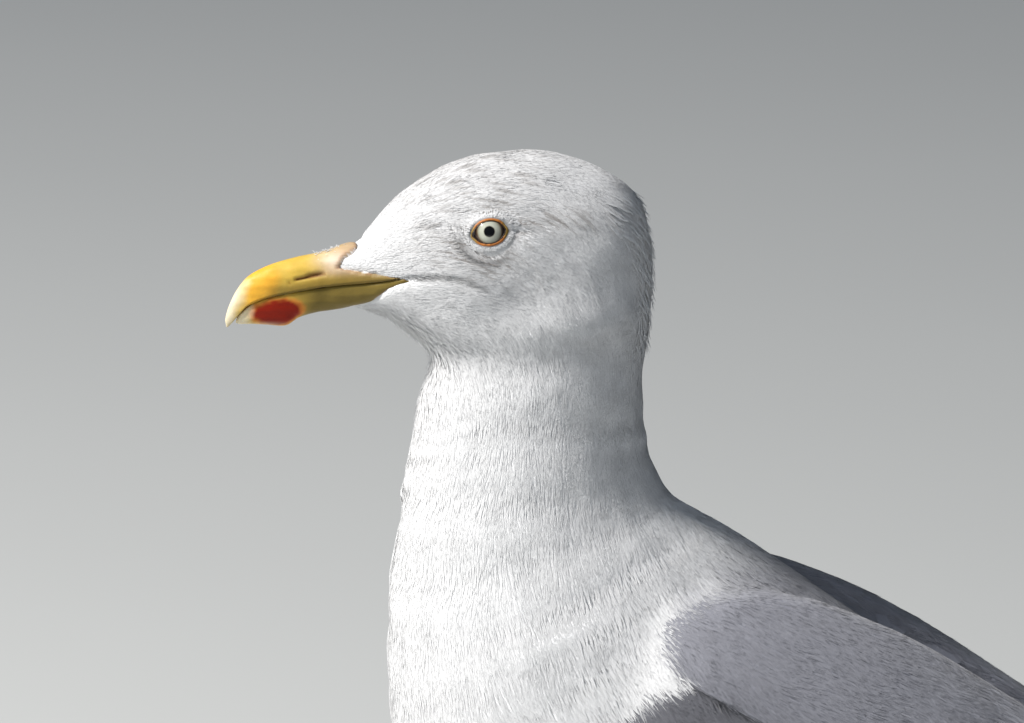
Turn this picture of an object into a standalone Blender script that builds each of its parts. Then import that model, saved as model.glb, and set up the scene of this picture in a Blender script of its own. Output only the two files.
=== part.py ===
"""Adult herring gull, life size, standing alert with its neck up and its wings folded.

The bird faces -X, its left side is toward -Y, and its toes stand on the floor at z = 0.
The tables are in millimetres, and MM makes them metres when a mesh is made. In them x is measured from a
line through the eye region; place_origin then moves the whole bird over the middle of its own box.
"""

import math

import bpy
import bmesh
import numpy as np
from mathutils import Matrix, Vector

MM = 0.001
COLLECTION = "herring_gull"
GAP = 0.3  # thin cut between neighbouring parts
CUTTER_GAP = 0.45  # growth of a cutter, a little more than the cut that it leaves
BODY_SIDES = 22
BODY_STEPS = 2  # rings from each row of a table to the next
WING_SIDES = 14
BILL_SIDES = 14
LIMB_SIDES = 10
EYE_SIDES, EYE_BANDS = 16, 8
ANKLE_SIDES, ANKLE_BANDS = 12, 8

# Head, neck and trunk are one form, bill to rump. Each ring: back line x, z; throat and belly line x, z;
# half width; widest place (-1 back line, 1 belly line); fullness of the curve (2 is an ellipse).
HEAD_RINGS = [
    (-57.1, 372.6, -57.1, 354.6, 6.6, 0.10, 2.2),
    (-48.4, 379.4, -49.7, 351.9, 10.8, 0.15, 2.1),
    (-40.8, 388.0, -42.4, 348.8, 15.2, 0.15, 2.0),
    (-30.0, 396.6, -36.4, 343.9, 19.6, 0.15, 2.0),
    (-19.3, 402.2, -32.3, 340.7, 22.8, 0.16, 2.0),
    (-5.0, 404.8, -29.8, 338.6, 25.2, 0.18, 2.0),
    (13.1, 404.0, -28.1, 336.5, 26.8, 0.18, 2.0),
    (30.3, 398.2, -27.5, 334.4, 27.2, 0.16, 2.0),
    (42.8, 388.7, -27.6, 332.9, 27.2, 0.12, 2.0),
    (47.1, 372.4, -28.3, 330.9, 27.4, 0.06, 2.0),
    (47.3, 353.6, -29.8, 326.3, 28.0, 0.00, 2.0),
]
NECK_RINGS = [
    (45.0, 332.1, -32.3, 318.2, 29.2, 0.00, 2.0),
    (44.4, 312.2, -35.2, 301.8, 31.5, 0.00, 2.0),
    (48.7, 294.8, -38.9, 275.3, 36.5, 0.05, 2.0),
    (54.5, 286.6, -41.9, 247.7, 42.0, 0.10, 2.0),
]
TRUNK_RINGS = [
    (62.6, 280.2, -42.7, 222.0, 48.0, 0.12, 2.0),
    (72.7, 273.2, -38.4, 197.3, 53.5, 0.12, 2.0),
    (84.8, 265.1, -26.3, 174.3, 57.5, 0.10, 2.0),
    (99.0, 255.5, -4.0, 153.5, 60.0, 0.08, 2.0),
    (115.1, 243.7, 25.2, 137.5, 61.0, 0.06, 2.0),
    (134.3, 230.8, 60.6, 123.5, 60.0, 0.04, 2.0),
    (154.5, 216.8, 96.9, 111.8, 56.5, 0.02, 2.0),
    (176.7, 200.7, 133.3, 103.5, 50.0, 0.00, 2.0),
    (202.0, 183.4, 169.6, 100.3, 41.5, -0.05, 2.0),
    (228.2, 165.1, 205.0, 102.2, 33.0, -0.10, 2.0),
    (254.5, 146.8, 238.3, 107.3, 26.0, -0.15, 2.2),
]
TAIL_RINGS = [
    (277.7, 127.6, 264.6, 102.3, 26.5, -0.20, 2.4),
    (302.9, 110.3, 294.9, 94.2, 28.0, -0.20, 2.6),
    (333.2, 92.4, 328.2, 83.9, 30.5, -0.20, 2.8),
    (369.6, 72.3, 367.6, 69.3, 33.0, 0.00, 3.0),
]

# Folded left wing with the scapulars, bend to tertial tips. Each ring: upper edge x, y, z; lower edge
# x, y, z; rise of the outer face over the line between the edges; sink of the inner face under it.
WING_RINGS = [
    (30.0, -48.0, 232.0, 22.0, -50.0, 204.0, 5.0, 4.0),
    (50.0, -40.0, 256.0, 34.0, -55.0, 184.0, 15.0, 7.0),
    (82.0, -28.0, 258.5, 56.0, -61.0, 171.5, 22.0, 7.0),
    (113.1, -20.0, 247.5, 86.8, -65.0, 160.9, 26.0, 6.0),
    (141.4, -17.0, 232.0, 115.1, -66.0, 150.3, 27.0, 5.0),
    (169.6, -15.0, 212.5, 144.4, -64.0, 140.1, 26.0, 4.0),
    (197.9, -13.0, 193.0, 173.7, -59.0, 132.0, 22.5, 3.0),
    (224.2, -11.0, 174.5, 204.0, -52.0, 125.8, 17.5, 2.5),
    (248.4, -10.0, 158.5, 234.3, -44.0, 122.8, 12.0, 2.0),
    (268.0, -12.0, 147.0, 258.0, -35.0, 128.2, 5.0, 1.5),
]
# Left wing tip, the stack of primaries behind the tertials, in the same form as the wing's rings.
PRIMARY_RINGS = [
    (250.0, -31.0, 153.0, 243.0, -40.0, 133.0, 2.2, 0.4),
    (268.0, -29.0, 146.5, 260.0, -37.0, 121.0, 2.8, 1.2),
    (302.9, -24.0, 127.3, 296.9, -32.0, 113.7, 2.6, 1.8),
    (343.3, -16.0, 107.0, 339.3, -26.0, 95.8, 2.0, 1.4),
    (381.7, -10.0, 87.3, 378.7, -17.0, 77.1, 1.2, 1.0),
    (418.1, -5.0, 68.2, 416.5, -8.0, 64.6, 0.6, 0.6),
]

# Upper mandible, gape to hooked tip. Each ring: ridge x, z; cutting edge x, z; half width; widest place;
# fullness. The lower mandible's rings read cutting edge first and keel line second.
UPPER_BILL_RINGS = [
    (-38.5, 368.0, -37.0, 365.2, 14.2, 0.00, 2.0),
    (-46.5, 371.2, -42.0, 363.8, 13.2, 0.60, 1.9),
    (-53.5, 374.6, -48.5, 362.2, 10.6, 0.65, 2.0),
    (-61.4, 372.8, -59.3, 360.6, 7.7, 0.70, 2.1),
    (-72.7, 370.6, -71.7, 358.6, 6.2, 0.72, 2.2),
    (-81.0, 368.4, -80.3, 357.0, 5.3, 0.72, 2.2),
    (-88.1, 365.0, -86.1, 355.5, 4.4, 0.65, 2.2),
    (-92.1, 360.7, -88.8, 354.4, 3.6, 0.45, 2.1),
    (-94.9, 355.4, -91.4, 352.2, 2.7, 0.20, 2.0),
    (-96.4, 350.5, -93.7, 349.4, 1.5, 0.10, 2.0),
    (-96.0, 347.6, -95.2, 347.6, 0.5, 0.00, 2.0),
]
LOWER_BILL_RINGS = [
    (-38.0, 364.2, -39.5, 361.4, 13.2, 0.00, 2.0),
    (-42.0, 363.3, -43.5, 358.6, 12.4, -0.45, 1.9),
    (-48.5, 361.8, -50.2, 355.2, 10.0, -0.55, 2.0),
    (-59.3, 360.2, -60.2, 352.8, 7.1, -0.60, 2.1),
    (-71.7, 358.2, -71.7, 350.3, 5.4, -0.55, 2.2),
    (-79.5, 356.7, -78.6, 347.6, 4.4, -0.45, 2.2),
    (-86.1, 354.9, -86.4, 348.5, 3.3, -0.30, 2.1),
    (-90.8, 351.6, -91.4, 348.7, 1.6, 0.00, 2.0),
    (-92.3, 349.9, -92.6, 348.9, 0.6, 0.00, 2.0),
]

EYE_CENTRE = (-9.8, -16.2, 380.6)  # left eye
EYE_RADIUS = 8.6

# Left leg: places x, y, z and radius along it, from the belly to the ankle.
THIGH_LINE = [(101, -26, 136, 27), (106, -28, 114, 19), (109, -29, 98, 12), (110.5, -29.5, 89.5, 7.8)]
SHANK_LINE = [
    (109, -29, 97, 4.0),
    (111.5, -30, 84, 4.4),
    (112.5, -30, 76, 6.0),
    (110.5, -30, 68, 4.6),
    (105.5, -30, 45, 3.8),
    (100.5, -30, 20, 4.0),
    (98, -30, 7, 5.4),
]
SHANK_FLATTENING = 0.82  # the shank is narrower from side to side than from front to back
ANKLE = (98, -30)
ANKLE_RADIUS = 5.6
# Front toes of the left foot: turn from straight ahead in degrees (+ is outward), length, name.
TOES = [(-24, 43, "inner"), (4, 56, "middle"), (30, 52, "outer")]
TOE_RADIUS_BACK = 3.9
TOE_RADIUS_FRONT = 2.7
TOE_STATIONS = (0.06, 0.3, 0.6, 0.85, 1.0)  # where a toe's rings stand, as shares of its length
TOE_END_TAPER = 0.8  # the last ring is this much of the straight taper
TOE_SINK = 0.7  # the pads are pressed flat on the floor by this much
WEB_REACH = 0.80  # the web's hollow edge, as a share of the toes' lengths
WEB_ALONG_TOE = 0.97  # the web ends this far along each toe
WEB_STATIONS = (0.0, 0.25, 0.5, 0.75)  # the web's corners from one toe to the next
WEB_LOW, WEB_HIGH = 0.4, 1.8
HIND_TOE_LENGTH = 10
HIND_TOE_HEIGHT = 9
FLOOR_BLOCK_WIDTH, FLOOR_BLOCK_DEPTH = 300, 20  # the block that presses the toe pads flat
CLAW_LENGTH = 9
CLAW_START = 0.8  # from the toe's last ring to the claw's first, which leans
CLAW_RADIUS = 1.7

WHITE_PLUMAGE = (0.86, 0.86, 0.86)
GREY_PLUMAGE = (0.30, 0.31, 0.335)
BLACK_PLUMAGE = (0.020, 0.020, 0.022)
BILL_YELLOW = (0.78, 0.47, 0.085)
EYE_IVORY = (0.62, 0.58, 0.44)
LEG_PINK = (0.60, 0.36, 0.31)
CLAW_DARK = (0.045, 0.035, 0.030)


def clear_scene():
    for old in list(bpy.data.objects):
        bpy.data.objects.remove(old, do_unlink=True)


def make_collection(name):
    made = bpy.data.collections.new(name)
    bpy.context.scene.collection.children.link(made)
    return made


def make_material(name, colour, roughness):
    made = bpy.data.materials.new(name)
    made.use_nodes = True
    shader = made.node_tree.nodes["Principled BSDF"]
    shader.inputs["Base Color"].default_value = (*colour, 1.0)
    shader.inputs["Roughness"].default_value = roughness
    shader.inputs["Metallic"].default_value = 0.0
    made.diffuse_color = (*colour, 1.0)
    return made


def smooth_rows(rows, steps):
    """A smooth (Catmull-Rom) run through the rows, with the given number of steps from each to the next."""
    rows = np.array(rows, float)
    before = np.vstack([2 * rows[0] - rows[1], rows, 2 * rows[-1] - rows[-2]])
    found = []
    for i in range(len(rows) - 1):
        a, b, c, d = before[i : i + 4]
        for t in np.arange(steps) / steps:
            found.append(
                0.5
                * (2 * b + (c - a) * t + (2 * a - 5 * b + 4 * c - d) * t**2 + (3 * b - a - 3 * c + d) * t**3)
            )
    found.append(rows[-1])
    return found


def upright_ring(row, sides):
    """Points round one ring of the head, neck, trunk, tail or bill, whose plane holds the Y direction."""
    back = np.array([row[0], 0.0, row[1]])
    belly = np.array([row[2], 0.0, row[3]])
    half_width, widest, fullness = row[4:7]
    points = []
    for i in range(sides):
        turn = 2 * math.pi * i / sides
        reach = (1 + widest) if math.cos(turn) > 0 else (1 - widest)
        along = widest - reach * math.copysign(abs(math.cos(turn)) ** (2 / fullness), math.cos(turn))
        across = half_width * math.copysign(abs(math.sin(turn)) ** (2 / fullness), math.sin(turn))
        point = back + (belly - back) * (1 + along) / 2
        points.append(Vector((point[0], across, point[2])))
    return points


def lens_ring(row, axis, sides):
    """Points round one ring of a folded left wing: a low outer arch and a flatter inner one."""
    top, low = Vector(row[0:3]), Vector(row[3:6])
    rise, sink = row[6:8]
    outward = (low - top).cross(axis).normalized()
    if outward.y > 0:
        outward.negate()
    middle, half = (top + low) / 2, (top - low) / 2
    points = []
    for i in range(sides):
        turn = 2 * math.pi * i / sides
        lift = rise if math.sin(turn) > 0 else sink
        points.append(middle + half * math.cos(turn) + outward * (lift * math.sin(turn)))
    return points


def round_ring(centre, direction, radius, flattening, sides):
    """Points round a limb. The ring is square to the limb's direction and narrower along Y."""
    forward = direction.cross(Vector((0, 1, 0))).normalized()
    side = direction.cross(forward).normalized()
    turns = [2 * math.pi * i / sides for i in range(sides)]
    return [
        centre + forward * (radius * math.cos(t)) + side * (radius * flattening * math.sin(t)) for t in turns
    ]


def skin_rings(name, rings, material, collection):
    """One closed body over a run of rings, with a fan of faces at each end."""
    bm = bmesh.new()
    loops = [[bm.verts.new(p * MM) for p in ring] for ring in rings]
    for one, two in zip(loops, loops[1:]):
        for i in range(len(one)):
            j = (i + 1) % len(one)
            bm.faces.new((one[i], one[j], two[j], two[i]))
    for loop in (loops[0], loops[-1]):
        middle = bm.verts.new(sum((v.co for v in loop), Vector()) / len(loop))
        for i in range(len(loop)):
            bm.faces.new((loop[i], loop[(i + 1) % len(loop)], middle))
    bmesh.ops.recalc_face_normals(bm, faces=bm.faces)
    return add_object(name, bm, material, collection)


def add_object(name, bm, material, collection):
    mesh = bpy.data.meshes.new(name)
    bm.to_mesh(mesh)
    bm.free()
    mesh.materials.append(material)
    mesh.shade_smooth()
    made = bpy.data.objects.new(name, mesh)
    collection.objects.link(made)
    return made


def as_cutter(piece, cutters):
    """Hides a piece that only shapes others."""
    for home in list(piece.users_collection):
        home.objects.unlink(piece)
    cutters.objects.link(piece)
    piece.hide_render = True
    piece.display_type = "WIRE"
    return piece


def grown(piece, cutters):
    """A cutter like the piece, larger by the thin cut all round."""
    copy = piece.copy()
    copy.name = piece.name + "_grown"
    cutters.objects.link(copy)
    swell = copy.modifiers.new("swell", "DISPLACE")
    swell.strength = CUTTER_GAP * MM
    swell.mid_level = 0.0
    copy.hide_render = True
    copy.display_type = "WIRE"
    return copy


def boolean(target, other, operation):
    step = target.modifiers.new(operation.lower(), "BOOLEAN")
    step.operation = operation
    step.solver = "EXACT"
    step.object = other


def cut(target, *others):
    for other in others:
        boolean(target, other, "DIFFERENCE")


def start_after_cut(rings):
    """Moves the first ring toward the second by the thin cut, along its own plane's normal."""
    first = rings[0]
    normal = (first[1] - first[0]).cross(first[len(first) // 2] - first[0]).normalized()
    if normal.dot(rings[1][0] - first[0]) < 0:
        normal.negate()
    return [[p + normal * GAP for p in first]] + rings[1:]


def make_body(collection, white):
    """Head, neck, trunk and tail: one smooth form, parted by thin cuts."""
    parts = [("head", HEAD_RINGS), ("neck", NECK_RINGS), ("trunk", TRUNK_RINGS), ("tail", TAIL_RINGS)]
    run = smooth_rows([row for _, table in parts for row in table], BODY_STEPS)
    made, first, last = {}, 0, -1
    for name, table in parts:
        last += len(table)
        rings = [upright_ring(row, BODY_SIDES) for row in run[first * BODY_STEPS : last * BODY_STEPS + 1]]
        if first:
            rings = start_after_cut(rings)
        made[name] = skin_rings(name, rings, white, collection)
        first = last
    return made


def make_bill(collection, horn):
    made = []
    for name, table in (("bill_upper", UPPER_BILL_RINGS), ("bill_lower", LOWER_BILL_RINGS)):
        rings = [upright_ring(row, BILL_SIDES) for row in smooth_rows(table, 2)]
        made.append(skin_rings(name, rings, horn, collection))
    return made


def make_eye(name, side, collection, material):
    bm = bmesh.new()
    x, y, z = EYE_CENTRE
    place = Matrix.Translation(Vector((x, y * side, z)) * MM) @ Matrix.Rotation(math.pi / 2, 4, "X")
    radius = EYE_RADIUS * MM
    bmesh.ops.create_uvsphere(bm, u_segments=EYE_SIDES, v_segments=EYE_BANDS, radius=radius, matrix=place)
    return add_object(name, bm, material, collection)


def mirrored(points_of_rings, side):
    """Left-side rings as they are for side 1, or reflected to the right side for side -1."""
    return [[Vector((p.x, p.y * side, p.z)) for p in ring] for ring in points_of_rings]


def lens_rings(table, steps):
    rows = smooth_rows(table, steps)
    middles = [Vector((row[0:3] + row[3:6]) / 2) for row in rows]
    rings = []
    for i, row in enumerate(rows):
        axis = middles[min(i + 1, len(rows) - 1)] - middles[max(i - 1, 0)]
        rings.append(lens_ring(row, axis, WING_SIDES))
    return rings


def limb_rings(line, flattening, steps):
    rows = [Vector(row) for row in smooth_rows(line, steps)]
    rings = []
    for i, row in enumerate(rows):
        direction = rows[min(i + 1, len(rows) - 1)].xyz - rows[max(i - 1, 0)].xyz
        rings.append(round_ring(row.xyz, direction, row.w, flattening, LIMB_SIDES))
    return rings


def toe_point(turn, reach, height):
    """A place over the left foot, by its turn from straight ahead and its distance from the ankle."""
    angle = math.radians(turn)
    return Vector((ANKLE[0] - reach * math.cos(angle), ANKLE[1] - reach * math.sin(angle), height))


def toe_rings(turn, length):
    line = []
    for share in TOE_STATIONS:
        radius = TOE_RADIUS_BACK + (TOE_RADIUS_FRONT - TOE_RADIUS_BACK) * share
        radius *= TOE_END_TAPER if share == TOE_STATIONS[-1] else 1.0
        line.append((*toe_point(turn, length * share, radius - TOE_SINK), radius))
    return limb_rings(line, 1.0, 1)


def web_outline():
    """The web's edge: from the ankle out along the inner toe, hollow between the toes, and back."""
    points = [toe_point(0, 1.5, 0)]
    for (turn, length, _), (next_turn, next_length, _) in zip(TOES, TOES[1:]):
        for share in WEB_STATIONS:
            hollow = 1 - (1 - WEB_REACH) * math.sin(math.pi * share)
            reach = (length + (next_length - length) * share) * WEB_ALONG_TOE * hollow
            points.append(toe_point(turn + (next_turn - turn) * share, reach, 0))
    turn, length, _ = TOES[-1]
    points.append(toe_point(turn, length * WEB_ALONG_TOE, 0))
    return points


def make_web(name, side, collection, material):
    bm = bmesh.new()
    outline = mirrored([web_outline()], side)[0]
    low = [bm.verts.new((p + Vector((0, 0, WEB_LOW))) * MM) for p in outline]
    face = bm.faces.new(low)
    lifted = bmesh.ops.extrude_face_region(bm, geom=[face])
    top = [v for v in lifted["geom"] if isinstance(v, bmesh.types.BMVert)]
    bmesh.ops.translate(bm, vec=Vector((0, 0, (WEB_HIGH - WEB_LOW) * MM)), verts=top)
    bmesh.ops.recalc_face_normals(bm, faces=bm.faces)
    return add_object(name, bm, material, collection)


def make_ankle(name, side, collection, material):
    bm = bmesh.new()
    place = Matrix.Translation(Vector((ANKLE[0], ANKLE[1] * side, ANKLE_RADIUS - TOE_SINK)) * MM)
    radius = ANKLE_RADIUS * MM
    bmesh.ops.create_uvsphere(bm, u_segments=ANKLE_SIDES, v_segments=ANKLE_BANDS, radius=radius, matrix=place)
    return add_object(name, bm, material, collection)


def make_floor_cutter(cutters, material):
    """A block under the floor level, which presses the toe pads flat."""
    bm = bmesh.new()
    bmesh.ops.create_cube(bm, size=1.0)
    block = Vector((FLOOR_BLOCK_WIDTH, FLOOR_BLOCK_WIDTH, FLOOR_BLOCK_DEPTH)) * MM
    bmesh.ops.scale(bm, vec=block, verts=bm.verts)
    bmesh.ops.translate(bm, vec=(ANKLE[0] * MM, 0, -block.z / 2), verts=bm.verts)
    return as_cutter(add_object("under_floor", bm, material, cutters), cutters)


def make_foot(suffix, side, collection, cutters, floor, skin):
    """Webbed foot: three front toes, the web and the small hind toe, joined into one solid."""
    foot = make_ankle("foot_" + suffix, side, collection, skin)
    web = make_web("web_" + suffix, side, cutters, skin)
    boolean(foot, as_cutter(web, cutters), "UNION")
    for turn, length, toe in TOES:
        rings = mirrored(toe_rings(turn, length), side)
        boolean(foot, as_cutter(skin_rings(f"toe_{toe}_{suffix}", rings, skin, cutters), cutters), "UNION")
    hind = [
        (*toe_point(0, 0.5, ANKLE_RADIUS), 3.0),
        (*toe_point(0, -HIND_TOE_LENGTH * 0.5, HIND_TOE_HEIGHT), 2.2),
        (*toe_point(0, -HIND_TOE_LENGTH, HIND_TOE_HEIGHT - 2.0), 1.6),
    ]
    rings = mirrored(limb_rings(hind, 1.0, 1), side)
    boolean(foot, as_cutter(skin_rings("toe_hind_" + suffix, rings, skin, cutters), cutters), "UNION")
    cut(foot, floor)
    return foot


def make_claws(suffix, side, collection, horn):
    """A claw at the end of each front toe: a small bent cone, clear of the floor."""
    for turn, length, toe in TOES:
        start = length + CLAW_START
        height = TOE_RADIUS_FRONT * 0.8 - TOE_SINK + 0.6
        line = [
            (*toe_point(turn, start, height), CLAW_RADIUS),
            (*toe_point(turn, start + CLAW_LENGTH * 0.5, height + 0.5), CLAW_RADIUS * 0.72),
            (*toe_point(turn, start + CLAW_LENGTH, 1.0), 0.35),
        ]
        skin_rings(f"claw_{toe}_{suffix}", mirrored(limb_rings(line, 0.85, 1), side), horn, collection)


def make_side(suffix, side, body, collection, cutters, floor, materials):
    """Everything that the bird has on each side: eye, wing, wing tip, leg, foot and claws."""
    white, grey, black, ivory, pink, dark = materials
    eye = make_eye("eye_" + suffix, side, collection, ivory)
    cut(body["head"], grown(eye, cutters))
    wing = skin_rings("wing_" + suffix, mirrored(lens_rings(WING_RINGS, 2), side), grey, collection)
    wing_uncut = grown(wing, cutters)
    cut(wing, body["trunk_grown"], body["tail_grown"])
    tips = skin_rings("primaries_" + suffix, mirrored(lens_rings(PRIMARY_RINGS, 2), side), black, collection)
    cut(tips, wing_uncut, body["trunk_grown"], body["tail_grown"])
    foot = make_foot(suffix, side, collection, cutters, floor, pink)
    shank_rings = mirrored(limb_rings(SHANK_LINE, SHANK_FLATTENING, 1), side)
    shank = skin_rings("shank_" + suffix, shank_rings, pink, collection)
    cut(shank, grown(foot, cutters))
    thigh = skin_rings("thigh_" + suffix, mirrored(limb_rings(THIGH_LINE, 1.0, 2), side), white, collection)
    cut(thigh, body["trunk_grown"], grown(shank, cutters))
    make_claws(suffix, side, collection, dark)


def place_origin(collection, cutters):
    """Hangs everything from one empty, moved so that the origin is under the middle of the bird's box."""
    reach = [v.co.x for piece in collection.objects for v in piece.data.vertices]
    root = bpy.data.objects.new("herring_gull_root", None)
    cutters.objects.link(root)
    root.location.x = -(min(reach) + max(reach)) / 2
    for piece in list(collection.objects) + list(cutters.objects):
        if piece is not root:
            piece.parent = root


def main():
    clear_scene()
    collection = make_collection(COLLECTION)
    cutters = make_collection("cutters")
    white = make_material("plumage_white", WHITE_PLUMAGE, 0.85)
    grey = make_material("plumage_grey", GREY_PLUMAGE, 0.85)
    black = make_material("wingtip_black", BLACK_PLUMAGE, 0.7)
    horn = make_material("bill_horn", BILL_YELLOW, 0.35)
    ivory = make_material("eye", EYE_IVORY, 0.05)
    pink = make_material("leg_skin", LEG_PINK, 0.5)
    dark = make_material("claw", CLAW_DARK, 0.35)
    body = make_body(collection, white)
    for piece in make_bill(collection, horn):
        cut(body["head"], grown(piece, cutters))
    body["trunk_grown"] = grown(body["trunk"], cutters)
    body["tail_grown"] = grown(body["tail"], cutters)
    floor = make_floor_cutter(cutters, pink)
    materials = (white, grey, black, ivory, pink, dark)
    for suffix, side in (("left", 1), ("right", -1)):
        make_side(suffix, side, body, collection, cutters, floor, materials)
    place_origin(collection, cutters)


main()
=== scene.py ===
"""Herring gull, life size, standing alert: its skin, bill, eyes, legs and every layer of its feathers.

Run it as a script. Sizes in the settings are in metres; landmarks on the bird are in millimetres, measured
from the floor and from a line through the eye region, and turned into the frame's metres by to_frame.
"""

import math

import bmesh
import bpy
import numpy as np
from bpy.props import FloatProperty, FloatVectorProperty, IntProperty, PointerProperty
from bpy.types import Operator, Panel, PropertyGroup
from mathutils import Matrix, Vector
from mathutils.bvhtree import BVHTree


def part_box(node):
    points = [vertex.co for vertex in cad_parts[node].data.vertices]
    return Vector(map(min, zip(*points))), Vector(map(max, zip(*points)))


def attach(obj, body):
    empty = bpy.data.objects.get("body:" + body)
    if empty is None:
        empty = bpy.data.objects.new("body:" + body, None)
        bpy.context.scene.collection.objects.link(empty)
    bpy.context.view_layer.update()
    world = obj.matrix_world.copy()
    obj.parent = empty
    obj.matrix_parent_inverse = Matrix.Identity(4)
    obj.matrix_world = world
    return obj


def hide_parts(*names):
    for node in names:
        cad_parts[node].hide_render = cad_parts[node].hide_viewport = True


bl_info = {
    "name": "Herring gull",
    "version": (1, 0, 0),
    "blender": (4, 5, 0),
    "location": "3D View > Sidebar > Gull",
    "description": "Builds a life-size herring gull with solid feathers over a packed frame",
    "category": "Object",
}

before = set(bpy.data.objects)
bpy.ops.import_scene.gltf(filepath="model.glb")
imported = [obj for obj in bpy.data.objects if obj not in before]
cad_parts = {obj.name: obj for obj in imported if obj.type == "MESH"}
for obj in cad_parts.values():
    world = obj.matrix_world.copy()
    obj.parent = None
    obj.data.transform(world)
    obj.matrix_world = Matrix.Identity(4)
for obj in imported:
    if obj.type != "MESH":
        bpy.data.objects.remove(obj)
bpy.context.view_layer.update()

SIDES = (("left", 1), ("right", -1))  # the tables describe the left side, which is toward -Y
FLESH = ["head", "neck", "trunk", "wing_left", "wing_right", "thigh_left", "thigh_right"]
EYE_X = -9.8  # where the tables put the eye
ORIGIN_X = sum(corner.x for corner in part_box("eye_left")) * 500 - EYE_X  # from the frame to the tables, in mm

# The middle of the body from the bill's root to the tail's tip: x, z.
SPINE = [
    (-62, 362), (-45, 365), (-28, 369), (-8, 371), (9, 366), (16, 352), (13, 334), (9, 312), (8, 288),
    (12, 262), (28, 236), (54, 212), (84, 191), (118, 170), (155, 151), (195, 135), (240, 125), (290, 104),
    (370, 71),
]

# Plumage and horn colours, as linear values.
WHITE = (0.80, 0.805, 0.81)
GREY = (0.275, 0.28, 0.318)
STREAK = (0.215, 0.19, 0.17)
BLACK = (0.012, 0.012, 0.014)


# ---------------------------------------------------------------- numbers and places


def to_frame(points):
    """Bird millimetres to the frame's metres."""
    return (np.asarray(points, float) + (ORIGIN_X, 0.0, 0.0)) * 0.001


def to_bird(points):
    """The frame's metres to bird millimetres."""
    return np.asarray(points, float) * 1000.0 - (ORIGIN_X, 0.0, 0.0)


def mirrored(points, side):
    """The table's left side, or its mirror image on the right."""
    return points * (1, side, 1)


def on_left(points):
    """The same places, all folded over to the bird's left side."""
    return points * (1, 0, 1) - np.abs(points[:, 1:2]) * (0, 1, 0)


def to_own_side(points):
    """Factors that turn a direction on the left side to each point's own side."""
    return np.where(points[:, 1:2] > 0, (1, -1, 1), (1, 1, 1))


def over_line(points, line):
    """How far points lie above a line that is given as x, z."""
    return points[:, 2] - np.interp(points[:, 0], *zip(*line))


def ease(low, high, value):
    """A smooth step from 0 at low to 1 at high."""
    t = np.clip((value - low) / (high - low), 0.0, 1.0)
    return t * t * (3.0 - 2.0 * t)


def unit(vectors):
    return vectors / np.maximum(np.linalg.norm(vectors, axis=-1, keepdims=True), 1e-9)


def smooth_rows(rows, steps):
    """A Catmull-Rom run through the rows, with the given number of steps from each to the next."""
    rows = np.array(rows, float)
    ends = np.vstack([2 * rows[0] - rows[1], rows, 2 * rows[-1] - rows[-2]])
    a, b, c, d = (ends[k : k + len(rows) - 1, None] for k in range(4))
    t = (np.arange(steps) / steps)[None, :, None]
    run = 2 * b + (c - a) * t + (2 * a - 5 * b + 4 * c - d) * t**2 + (3 * b - a - 3 * c + d) * t**3
    return np.vstack([0.5 * run.reshape(-1, rows.shape[1]), rows[-1]])


def ripple(points, size, seed):
    """Smooth noise in -1..1 over points, from a few crossed waves about size millimetres long."""
    rng = np.random.default_rng(seed)
    total = np.zeros(len(points))
    for _ in range(7):
        way = unit(rng.normal(size=3)) * (2 * math.pi / size) * rng.uniform(0.6, 1.5)
        total += np.sin(points @ way + rng.uniform(0, 2 * math.pi))
    return total / 4.0


SPINE_RUN = smooth_rows(SPINE, 10)
SPINE_WAY = unit(np.gradient(SPINE_RUN, axis=0))
SPINE_REACH = np.concatenate([[0], np.cumsum(np.linalg.norm(np.diff(SPINE_RUN, axis=0), axis=1))])
BEND_BLUR = 9.0  # millimetres over which the lie of the feathers turns at a bend
AT_ONCE = 4000  # points worked out together
SOFTER_NORMALS = 4  # rounds of smoothing


def along_body(points):
    """For bird points: distance along the spine, height toward the back line, and the spine's way (x, z)."""
    reach, rise, way = np.empty(len(points)), np.empty(len(points)), np.empty((len(points), 2))
    for k in range(0, len(points), AT_ONCE):
        these = slice(k, k + AT_ONCE)
        p = points[these][:, [0, 2]]
        gap = np.linalg.norm(p[:, None] - SPINE_RUN[None], axis=2)
        weight = np.exp(-(gap**2 - gap.min(1, keepdims=True) ** 2) / (2 * BEND_BLUR**2) / 6)
        weight /= weight.sum(1, keepdims=True)
        w = unit(weight @ SPINE_WAY)
        centre = weight @ SPINE_RUN
        reach[these] = weight @ SPINE_REACH
        rise[these] = ((p - centre) * np.stack([-w[:, 1], w[:, 0]], 1)).sum(1)
        way[these] = w
    return reach, rise, way


def round_body(points):
    """For bird points: distance along the spine, turn round it from the back line, and height toward that."""
    reach, rise, _ = along_body(points)
    return reach, np.arctan2(points[:, 1], rise), rise


def in_cells(points, long, radius, wide, deep):
    """Places counted in cells that are long along the body, wide round it at the radius, and deep."""
    reach, turn, rise = round_body(points)
    return np.stack([reach / long, turn * radius / wide, rise / deep], 1)


STREAK_CELL = (6.0, 26.0, 1.7, 60.0)  # a streak of the head's markings
FEATHER_CELL = (7.0, 30.0, 4.5, 80.0)  # a small feather
FOLD_CELL = (13.0, 0.35, 1.0, 200.0)  # a fold of the neck, which runs nearly round it


# ---------------------------------------------------------------- meshes


def new_object(name, bm, material):
    mesh = bpy.data.meshes.new(name)
    bm.to_mesh(mesh)
    bm.free()
    return finished(name, mesh, material)


def finished(name, mesh, material):
    """An object of the mesh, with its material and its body."""
    mesh.shade_smooth()
    mesh.materials.clear()
    mesh.materials.append(material)
    made = bpy.data.objects.new(name, mesh)
    bpy.context.scene.collection.objects.link(made)
    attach(made, "root")
    return made


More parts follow.
